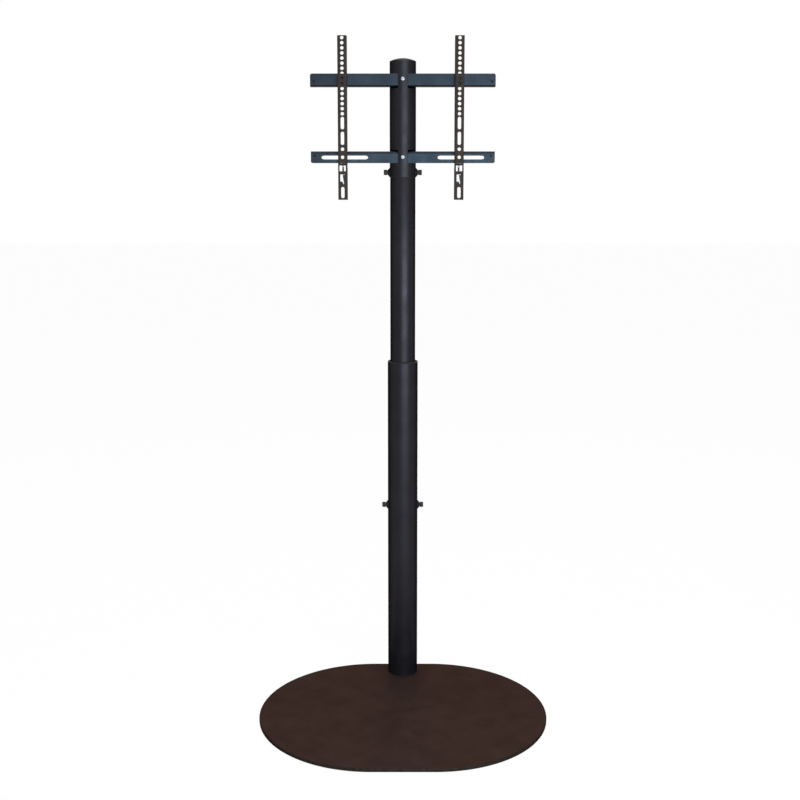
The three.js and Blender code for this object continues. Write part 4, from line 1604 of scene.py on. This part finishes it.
@dataclass(frozen=True)
class Head:
    """The turning tube with its cap, bars, screws and clamp screws."""

    places: Places
    radius: float = 34.0
    wall: float = 2.0
    strip: float = 25.0
    clearance: float = 0.6
    relief: float = 3.0
    clamp_hole: float = 4.6
    hole_reach: float = 11.2
    hole_room: float = 1.2
    leaf: float = 4.2
    turn_step: float = 0.07
    row_step: float = 2.6
    cap_gaps: Pair = (0.4, 0.3)
    cap_rim: float = 1.0
    cap_rise: float = 7.6
    plug_depth: float = 18.0
    plug_wall: float = 2.5
    nut_half: float = 5.0
    nut_height: float = 5.0
    nut_bore: float = 3.15
    nut_corners: Pair = (4.9, 9.0)
    nut_cut: float = 0.5
    slot_ends: Pair = (89.5, 209.0)
    spigot_radius: float = 31.7
    bolt_past_bar: float = 6.5
    stop_x: float = 227.0
    stop_drops: Pair = (-6.0, 3.5)

    def _layout_angle(self, depth_behind_axis: float) -> float:
        """The angle from the front at which the tube's surface is that far in front of its axis."""
        return math.acos(-depth_behind_axis / self.radius)

    def tube(self) -> Surface:
        """The head tube, rolled with an opening on each side of its front strip for each bar."""
        places, radius = self.places, self.radius
        strip = math.asin(self.strip / 2 / radius)
        face = self._layout_angle(places.bar_back + self.clearance - places.column_y)
        back = places.bar_face + FoldedBar.depth + self.clearance
        fold = self._layout_angle(back - places.column_y)
        hole, quarter = self.hole_reach / radius, QUARTER_TURN
        turns = [0.0, strip, face, fold, quarter - hole, quarter, quarter + hole, HALF_TURN]
        half = ruled(turns, self.turn_step)
        whole = np.concatenate([-half[:0:-1], half])
        s = whole[1:] * radius
        gone = []
        for low, high, up in ((*places.upper_bar, -1), (*places.lower_bar, 1)):
            bottom, top = low - self.clearance, high + self.clearance
            leaf = (top - self.leaf, top + self.relief)
            if up < 0:
                leaf = (bottom - self.relief, bottom + self.leaf)
            for way in (-1, 1):
                edges = sorted((way * strip * radius, way * face * radius))
                gone.append((edges[0], edges[1], min(bottom, leaf[0]), max(top, leaf[1])))
                edges = sorted((way * face * radius, way * fold * radius))
                gone.append((edges[0], edges[1], *leaf))
        z, across, up = places.head_clamp_z, self.hole_reach, self.hole_reach / self.hole_room
        stops = [places.head_foot, z - up, z + up, places.head_top]
        stops += [edge for rectangle in gone for edge in rectangle[2:]]
        t = ruled(stops, self.row_step)
        windows = tuple(
            Window.round_hole(side.value * quarter * radius, z, self.clamp_hole, (across, up))
            for side in Side
        )
        place = tube_place(radius, self.wall, places.column_y)
        sheet = Sheet(s, t, place, tuple(gone), windows, FULL_TURN * radius)
        return sheet.surface()

    def cap(self) -> Surface:
        """The domed cap: a plug below, a thin rim and a low crown.

        The crown's height above the rim is its rise times 1 less the square of the share of its
        radius.
        """
        rim_gap, plug_gap = self.cap_gaps
        rim, plug = self.radius - rim_gap, self.radius - self.wall - plug_gap
        top = self.places.head_top
        bore, lip = plug - self.plug_wall, top + self.cap_rim
        ceiling, foot = top - self.plug_wall, top - self.plug_depth
        share = np.linspace(1, 0, 24)
        crown = np.stack([rim * share, lip + self.cap_rise * (1 - share**2)], axis=-1)
        corners = [[0, ceiling], [bore, ceiling], [bore, foot], [plug, foot], [plug, top]]
        under = softened([*corners, [rim, top], [rim, lip]], [0, 0.5, 0.4, 1.0, 0, 0.25, 0])
        profile = np.concatenate([under, crown[1:]])
        return turned(profile, segments=96).moved(y=self.places.column_y)

    def nut(self, z: float) -> Surface:
        """A bar nut: six flats with their corners turned off, and a bore."""
        around = angles(60)
        low, high = self.nut_corners
        limits = np.array([self.nut_bore, low, high, high, low, self.nut_bore])[:, None]
        radius = np.minimum(self.nut_half * hexagon(around), limits)
        face = -self.places.bar_back
        back, cut = face - self.nut_height, self.nut_cut
        heights = np.array([face, face, face - cut, back + cut, back, back])[:, None]
        return skin(Axis.FORWARD.place(radius, around, heights), ring=True).moved(z=z)

    def build(self, shop: Workshop) -> None:
        """Makes the tube, the cap, the bars, their screws and the clamp screws."""
        places = self.places
        shop.piece("head_tube", self.tube(), TUBE_POWDER, "head", 0.2)
        shop.piece("head_cap", self.cap(), BLACK_NYLON, "head")
        upper = FoldedBar(places, *places.upper_bar, Fold.FOLD_AT_BOTTOM)
        near, far = self.slot_ends
        slots = ((-far, -near), (near, far))
        lower = FoldedBar(places, *places.lower_bar, Fold.FOLD_AT_TOP, slots, places.bar_slot_z)
        shop.piece("upper_bar", upper.surface(), BAR_POWDER, "head", 0.45)
        shop.piece("lower_bar", lower.surface(), BAR_POWDER, "head", 0.45)
        front = places.column_y - self.radius
        bar_screw = PanScrew(3.0, 4.8, 2.6, places.bar_back + self.bolt_past_bar - front)
        stop_screw = PanScrew(1.9, 2.8, 1.8, 6.0)
        screw_z = (places.upper_screw_z, places.lower_screw_z)
        for bar, z, drop in zip(("upper", "lower"), screw_z, self.stop_drops):
            screw = bar_screw.surface().moved(y=front, z=z)
            shop.piece(f"{bar}_bar_screw", screw, WHITE_ZINC, "head")
            shop.piece(f"{bar}_bar_nut", self.nut(z), WHITE_ZINC, "head")
            for side in Side:
                x = side.value * self.stop_x
                stop = stop_screw.surface().moved(x, places.bar_face, z + drop)
                name = f"{bar}_{side.word}_stop_screw"
                shop.piece(name, stop, BLACK_STEEL, "head")
        for side in Side:
            z, radii = places.head_clamp_z, (self.radius, self.spigot_radius)
            ClampScrew(places, "head", side, "head", z, *radii).build(shop)


@dataclass(frozen=True)
class Arm:
    """A punched upright channel that hooks over the upper bar, with its lock and its latch."""

    places: Places
    side: Side
    x: float
    half_width: float = 11.75
    sheet: float = 2.0
    bend: float = 2.6
    reach: float = 18.0
    hook_depth: float = 8.2
    hook_drop: float = 9.0
    rise: float = 92.0
    drop: float = 93.5
    lift: float = 12.0
    leaf_clearance: float = 1.6
    hole: float = 4.3
    pitch: float = 12.5
    first_hole: float = 5.9
    hole_count: int = 16
    corner: float = 1.2
    foot_slot: Pair = (4.4, 14.1)
    middle_slot: Pair = (31.0, 16.5)
    upper_slot: Pair = (70.0, 15.5)
    single_rise: float = 20.2
    window: Pair = (5.0, 8.0)
    keyhole_below: float = 2.4
    lever_slot_s: float = -0.5
    lever_slot_below: float = 29.0
    lever_slot_half: Pair = (5.75, 9.1)
    lever_slot_tail: Triple = (-1.2, 2.0, 6.4)
    play: float = 0.3
    steps: Pair = (5.0, 1.7)
    bolt_bore: float = 2.8
    bolt_back: Pair = (0.6, 2.5)
    block_behind: float = 7.5
    tab_half: float = 10.75
    tab_below: float = 24.0
    tab_sheet: float = 3.0
    guide_half: float = 9.45
    guide_below: float = 1.2
    guide_height: float = 4.6
    bolt_rise: float = 8.0
    bolt_drop: float = 29.0
    neck: float = 18.0
    neck_radius: float = 2.35
    thread: Triple = (2.5, 0.3, 0.8)
    slit_half: float = 0.5
    slit_depth: float = 1.3
    lever_half: Pair = (2.75, 3.35)
    lever_offset: Pair = (6.4, 2.9)
    lever_gap: float = 0.9
    lever_sheet: float = 2.5
    lever_behind: float = 0.6
    pin_bore: float = 1.8
    pin_radius: float = 1.5
    pin_head: Pair = (2.7, 1.2)
    pin_seat: float = 3.7

    @property
    def top(self) -> float:
        """The arm's upper end."""
        return self.places.upper_bar[1] + self.rise

    @property
    def foot(self) -> float:
        """The arm's lower end."""
        return self.places.lower_bar[0] - self.drop

    @property
    def front(self) -> float:
        """The front of the arm's web."""
        return self.places.bar_face - self.reach

    @property
    def inside(self) -> float:
        """The back of the arm's web."""
        return self.front + self.sheet

    @property
    def bolt_y(self) -> float:
        """The lock bolt's axis, behind the lower bar's sheet."""
        return self.places.bar_back + sum(self.bolt_back)

    @property
    def web(self) -> float:
        """Half the web's flat width."""
        return self.half_width - self.bend

    def _developed(self, y: float) -> float:
        """The layout's distance from the web's middle to a depth on the flange."""
        return self.web + self.bend * QUARTER_TURN + (y - self.front - self.bend)

    def _place(self, s: Array, t: Array, depth: float) -> Array:
        """The channel's point.

        s is the length along the outer face from the middle of the web.
        """
        along, back = folded(np.abs(s), self.web, self.bend, depth * self.sheet)
        x = self.x + np.where(s < 0, -1.0, 1.0) * along
        return np.stack([x, self.front + back, t], axis=-1)

    def _slot(self, low: float, half: float) -> Window:
        """A slot as wide as the holes, with round ends, from its lower end and half its height."""
        return Window(0.0, low + half, self.hole, half, self.hole)

    def _openings(self) -> list[Window]:
        """The openings up the web, from its foot to its top."""
        slot_z, bottom = self.places.bar_slot_z, self.places.lower_bar[0]
        gap, half = self.foot_slot
        half_s, half_t = self.lever_slot_half
        lever_z = bottom - self.lever_slot_below - half_t
        below, window_half = self.window
        window_z = bottom - below - window_half
        keyhole = (self.hole, bottom - self.keyhole_below - window_z)
        found = [
            self._slot(self.foot + gap, half),
            Window(
                self.lever_slot_s, lever_z, half_s, half_t, self.corner, tail=self.lever_slot_tail
            ),
            Window(0.0, window_z, window_half, window_half, self.corner, keyhole=keyhole),
            Window.round_hole(0.0, slot_z, self.hole),
            Window.round_hole(0.0, slot_z + self.single_rise, self.hole),
        ]
        for rise, half in (self.middle_slot, self.upper_slot):
            found.append(self._slot(slot_z + rise, half))
        first = self.top - self.first_hole
        row = [first - self.pitch * k for k in range(self.hole_count)]
        return found + [Window.round_hole(0.0, z, self.hole) for z in reversed(row)]

    def channel(self) -> Surface:
        """The punched and notched channel."""
        openings = self._openings()
        pairs = zip(openings[:-1], openings[1:])
        between = [(below.top + above.bottom) / 2 for below, above in pairs]
        bounds = [self.foot, *between, self.top]
        windows = tuple(
            replace(opening, cell=(-self.web, self.web, low, high))
            for opening, low, high in zip(openings, bounds[:-1], bounds[1:])
        )
        face = self._developed(self.places.bar_face - self.play)
        lip = self._developed(self.places.bar_back + self.play)
        back = self._developed(self.places.bar_face + self.hook_depth)
        upper_low, upper_high = self.places.upper_bar
        lower_low, lower_high = self.places.lower_bar
        notches = [
            (face, back, upper_low - self.leaf_clearance, upper_high - self.hook_drop),
            (face, lip, upper_high - self.hook_drop, upper_high + self.play),
            (face, back, lower_low - self.lift, lower_high + self.leaf_clearance),
        ]
        gone = tuple(notches) + tuple((-high, -low, t0, t1) for low, high, t0, t1 in notches)
        quarter = self.bend * QUARTER_TURN
        flange = ruled([self.web + quarter, face, lip, back], self.steps[0])[1:]
        bend = self.web + np.linspace(0, quarter, 6)[1:]
        half = np.concatenate([np.linspace(0, self.web, 11), bend, flange])
        s = np.concatenate([-half[:0:-1], half])
        t = ruled(bounds + [edge for notch in notches for edge in notch[2:]], self.steps[1])
        return Sheet(s, t, self._place, gone, windows).surface()

    def _drilled_block(
        self, half_s: float, y0: float, y1: float, z0: float, z1: float, corner: float
    ) -> Surface:
        """A level block with a round bore for the lock bolt: outline, top, bore and underside."""
        shares = even_shares(8)
        block = Window(self.x, (y0 + y1) / 2, half_s, (y1 - y0) / 2, corner)
        outer = rounded_outline(block, shares)
        bore = rounded_outline(Window.round_hole(self.x, self.bolt_y, self.bolt_bore), shares)
        rows = [(outer, z0), (outer, z1), (bore, z1), (bore, z0)]
        return skin(np.stack([level(*outline, z) for outline, z in rows]), ring=True)

    def tab(self) -> Surface:
        """The threaded tab bent back from the web."""
        top, back = self.places.lower_bar[0] - self.tab_below, self.bolt_y + self.block_behind
        low = self.inside - self.sheet / 2
        return self._drilled_block(self.tab_half, low, back, top - self.tab_sheet, top, 1.0)

    def guide(self) -> Surface:
        """The nylon block that steadies the lock bolt under the bar."""
        top, back = self.places.lower_bar[0] - self.guide_below, self.bolt_y + self.block_behind
        low, foot = self.inside + self.play, top - self.guide_height
        return self._drilled_block(self.guide_half, low, back, foot, top, self.corner)

    def lock_bolt(self) -> Surface:
        """The lock bolt: a rounded tip, a plain neck, a helical thread and a slotted foot."""
        top = self.places.lower_bar[0] + self.bolt_rise
        foot = self.places.lower_bar[0] - self.bolt_drop
        around = angles(32)
        neck = np.linspace(top - 1.0, top - self.neck, 6)[:, None]
        thread = np.linspace(top - self.neck - 0.4, foot + 0.5, 118)[:, None]
        ones = np.ones((1, len(around)))
        radii = np.concatenate(
            [
                0 * ones,
                1.5 * ones,
                self.neck_radius * ones * np.ones_like(neck),
                threaded(*self.thread, thread, around),
                2.0 * ones,
                0 * ones,
            ]
        )
        heights = np.concatenate([[[top], [top]], neck, thread, [[foot], [foot]]])
        slit = np.clip(1.4 - np.abs(radii * np.sin(around)) / self.slit_half, 0, 1)
        lifted = heights + self.slit_depth * slit * (heights < foot + 0.3)
        return skin(Axis.UP.place(radii, around, lifted)).moved(self.x, self.bolt_y)

    def _lever_places(self) -> Triple:
        """The lever pin's offset and height, and the lever's top."""
        foot_slot, lever_slot = self._openings()[:2]
        pin_z = (lever_slot.bottom + foot_slot.top) / 2
        return self.lever_offset[0], pin_z, lever_slot.top - self.lever_gap

    def lever(self) -> Surface:
        """The latch lever: a leaning, tapered plate with rounded ends and a hole for its pin.

        At share h of the way from the pin to the top, its middle is that far from the pin's
        offset to the top's, and its width that far from the end's to the top's.

        Returns:
            The surface.
        """
        offset, pin_z, top = self._lever_places()
        half_end, half_top = self.lever_half
        foot = pin_z - half_end
        shares = even_shares(12)
        half_t = (top - foot) / 2
        s, t = rounded_outline(Window(0.0, foot + half_t, 1.0, half_t, 0.8), shares)
        share = (t - pin_z) / (top - pin_z)
        width = half_end + (half_top - half_end) * share
        outer = (self.x + offset + (self.lever_offset[1] - offset) * share + width * s, t)
        hole = rounded_outline(Window.round_hole(self.x + offset, pin_z, self.pin_bore), shares)
        near = self.inside + self.lever_behind
        far = near + self.lever_sheet
        rows = [(outer, near), (outer, far), (hole, far), (hole, near)]
        loops = [np.stack([s, np.full_like(s, y), t], axis=-1) for (s, t), y in rows]
        return skin(np.stack(loops), ring=True)

    def pin(self) -> Surface:
        """The latch pin: a shank from the web and a domed head behind the lever."""
        offset, pin_z, _ = self._lever_places()
        foot, seat = -self.inside, -(self.inside + self.pin_seat)
        radius, (head, height) = self.pin_radius, self.pin_head
        corners = [[0, foot], [radius, foot], [radius, seat], [head, seat]]
        corners += [[head - 0.2, seat - 0.7], [0, seat - height]]
        profile = softened(corners, [0, 0, 0, 0.2, 0.5, 0])
        return turned(profile, Axis.FORWARD, 32).moved(self.x + offset, 0, pin_z)

    def build(self, shop: Workshop) -> None:
        """Makes the channel with its tab, the guide, the lock bolt, the lever and the pin."""
        word = self.side.word
        body = f"{word}_arm_set"
        arm = Surface.joined([self.channel(), self.tab()])
        shop.piece(f"{word}_arm", arm, ARM_POWDER, body, 0.25)
        shop.piece(f"{word}_bolt_guide", self.guide(), BLACK_NYLON, body, 0.3)
        shop.piece(f"{word}_latch_pin", self.pin(), BLACK_STEEL, body)
        bolt = self.lock_bolt()
        shop.piece(f"{word}_lock_bolt", bolt, TURNED_STEEL, f"{word}_lock")
        lever = self.lever()
        shop.piece(f"{word}_latch_lever", lever, BAR_POWDER, f"{word}_latch", 0.3)


# Studio


@dataclass(frozen=True)
class SoftBox:
    """A rectangular lamp that looks at a point.

    Args:
        name: The lamp's name.
        at: Where it stands, in metres.
        towards: What it looks at.
        size: Its width and height.
        power: Its power in watts.
        colour: Its colour.
    """

    name: str
    at: Triple
    towards: Triple
    size: Pair
    power: float
    colour: Triple

    def build(self) -> None:
        """Hangs the lamp."""
        lamp = bpy.data.lights.new(self.name, "AREA")
        lamp.shape = "RECTANGLE"
        lamp.size, lamp.size_y = self.size
        lamp.energy = self.power
        lamp.color = self.colour
        hung = bpy.data.objects.new(self.name, lamp)
        bpy.context.scene.collection.objects.link(hung)
        hung.visible_camera = False
        hung.location = self.at
        aim = np.array(self.towards) - np.array(self.at)
        flat = math.hypot(aim[0], aim[1])
        hung.rotation_euler = (math.atan2(flat, -aim[2]), 0.0, math.atan2(-aim[0], aim[1]))


@dataclass(frozen=True)
class Studio:
    """The pale floor, a wide cool key in front, a soft lamp overhead, and the camera."""

    focal_px: float = 1100.0
    frame_px: float = 800.0
    camera_at: Triple = (-0.0073, -2.6555, 1.3083)
    pitch_down: float = 8.36
    centre_row: float = 360.0
    sensor_mm: float = 36.0
    far_m: float = 60.0
    floor_reach: float = 30.0
    floor_lines: int = 21
    paper_clouds: Mottle = Mottle(300, 2)
    paper_tones: Pair = (0.86, 0.9)
    glow_share: float = 0.97
    white: Triple = (1.0, 1.0, 1.0)
    fill_colour: Triple = (0.97, 0.98, 1.0)
    fill_strength: float = 0.35
    boxes: tuple[SoftBox, ...] = (
        SoftBox("key", (1.1, -3.48, 1.1), (0.0, 0.25, 1.1), (3.2, 1.8), 165, (0.76, 0.9, 1.0)),
        SoftBox("overhead", (0.0, 0.4, 4.2), (0.0, 0.2, 0.0), (3.0, 3.0), 105, (1.0, 0.98, 0.96)),
    )

    def floor(self) -> None:
        """The level floor: squares whose sides grow with the cube of their distance."""
        share = np.linspace(-1, 1, self.floor_lines)
        reach = self.floor_reach * share**3
        x, y = np.meshgrid(reach, reach, indexing="ij")
        faces = quads(np.arange(x.size).reshape(x.shape)).reshape(-1, 4)
        mesh = bpy.data.meshes.new("floor")
        mesh.from_pydata(level(x, y, 0.0).reshape(-1, 3), [], faces)
        mesh.materials.append(self._paper())
        floor = bpy.data.objects.new("floor", mesh)
        bpy.context.scene.collection.objects.link(floor)
        floor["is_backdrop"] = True

    def _paper(self) -> bpy.types.Material:
        """White paper, which also glows a little where the camera or a reflection sees it."""
        graph = Graph.of_material("paper")
        tones = (shade((tone, tone, tone)) for tone in self.paper_tones)
        tone = graph.mixed(graph.mottled(self.paper_clouds), *tones)
        paper = graph.node("BsdfDiffuse", {"Color": tone})
        glow = graph.node("Emission", {"Color": shade(self.white), "Strength": 1.0})
        share = graph.combined("MULTIPLY", graph.seen_directly(), self.glow_share)
        return graph.finished(graph.blended(share, paper, glow))

    def world(self) -> None:
        """White all round, as the lens and reflections see it, and a soft fill otherwise."""
        world = bpy.data.worlds.new("studio_white")
        bpy.context.scene.world = world
        graph = Graph(world, "World")
        colour = shade(self.fill_colour)
        fill = graph.node("Background", {"Color": colour, "Strength": self.fill_strength})
        seen = graph.node("Background", {"Color": shade(self.white)})
        graph.finished(graph.blended(graph.seen_directly(), fill, seen))

    def camera(self) -> None:
        """The camera at the photograph's height and angle.

        Its focal length in millimetres is the focal length in pixels over the frame in pixels,
        times the sensor. The level of the lens axis in the frame is set by the shift.
        """
        lens = bpy.data.cameras.new("camera")
        lens.sensor_width = self.sensor_mm
        lens.lens = self.focal_px / self.frame_px * lens.sensor_width
        lens.shift_y = (self.centre_row - self.frame_px / 2) / self.frame_px
        lens.clip_end = self.far_m
        seen = bpy.data.objects.new("camera", lens)
        bpy.context.scene.collection.objects.link(seen)
        seen.location = self.camera_at
        seen.rotation_euler = (math.radians(90 - self.pitch_down), 0.0, 0.0)
        bpy.context.scene.camera = seen

    def build(self) -> None:
        """Sets the stage."""
        self.floor()
        self.world()
        for box in self.boxes:
            box.build()
        self.camera()
        scene = bpy.context.scene
        scene.view_settings.view_transform = "Standard"
        LOG.info("studio set")


@dataclass
class Stand:
    """The whole stand.

    Args:
        shop: Where its pieces are made.
        places: The heights and depths its sub-assemblies share.
        arm_places: Where each arm stands along the bars.
    """

    shop: Workshop
    places: Places = field(default_factory=Places)
    arm_places: dict[Side, float] = field(
        default_factory=lambda: {Side.LEFT: -154.0, Side.RIGHT: 144.0}
    )

    def build(self) -> None:
        """Makes every sub-assembly in order."""
        FloorPlate(self.places).build(self.shop)
        Column(self.places).build(self.shop)
        Head(self.places).build(self.shop)
        for side, x in self.arm_places.items():
            Arm(self.places, side, x).build(self.shop)
        bare = sorted(set(self.shop.nodes) - self.shop.dressed)
        LOG.info("nodes left bare: %s", bare or "none")


def corners(box: Sequence[Sequence[float]]) -> list[list[float]]:
    """A box as plain lists of numbers."""
    return [[float(value) for value in corner] for corner in box]


def main() -> None:
    """Builds the stand and its studio."""
    logging.basicConfig(level=logging.INFO, format="%(name)s: %(message)s")
    stand = Stand(Workshop(frame["nodes"]))
    stand.build()
    Studio().build()
    {"cad": corners(CAD_BOX), "visual": corners(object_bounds())}
    LOG.info("boxes written")


if __name__ == "__main__":
    main()
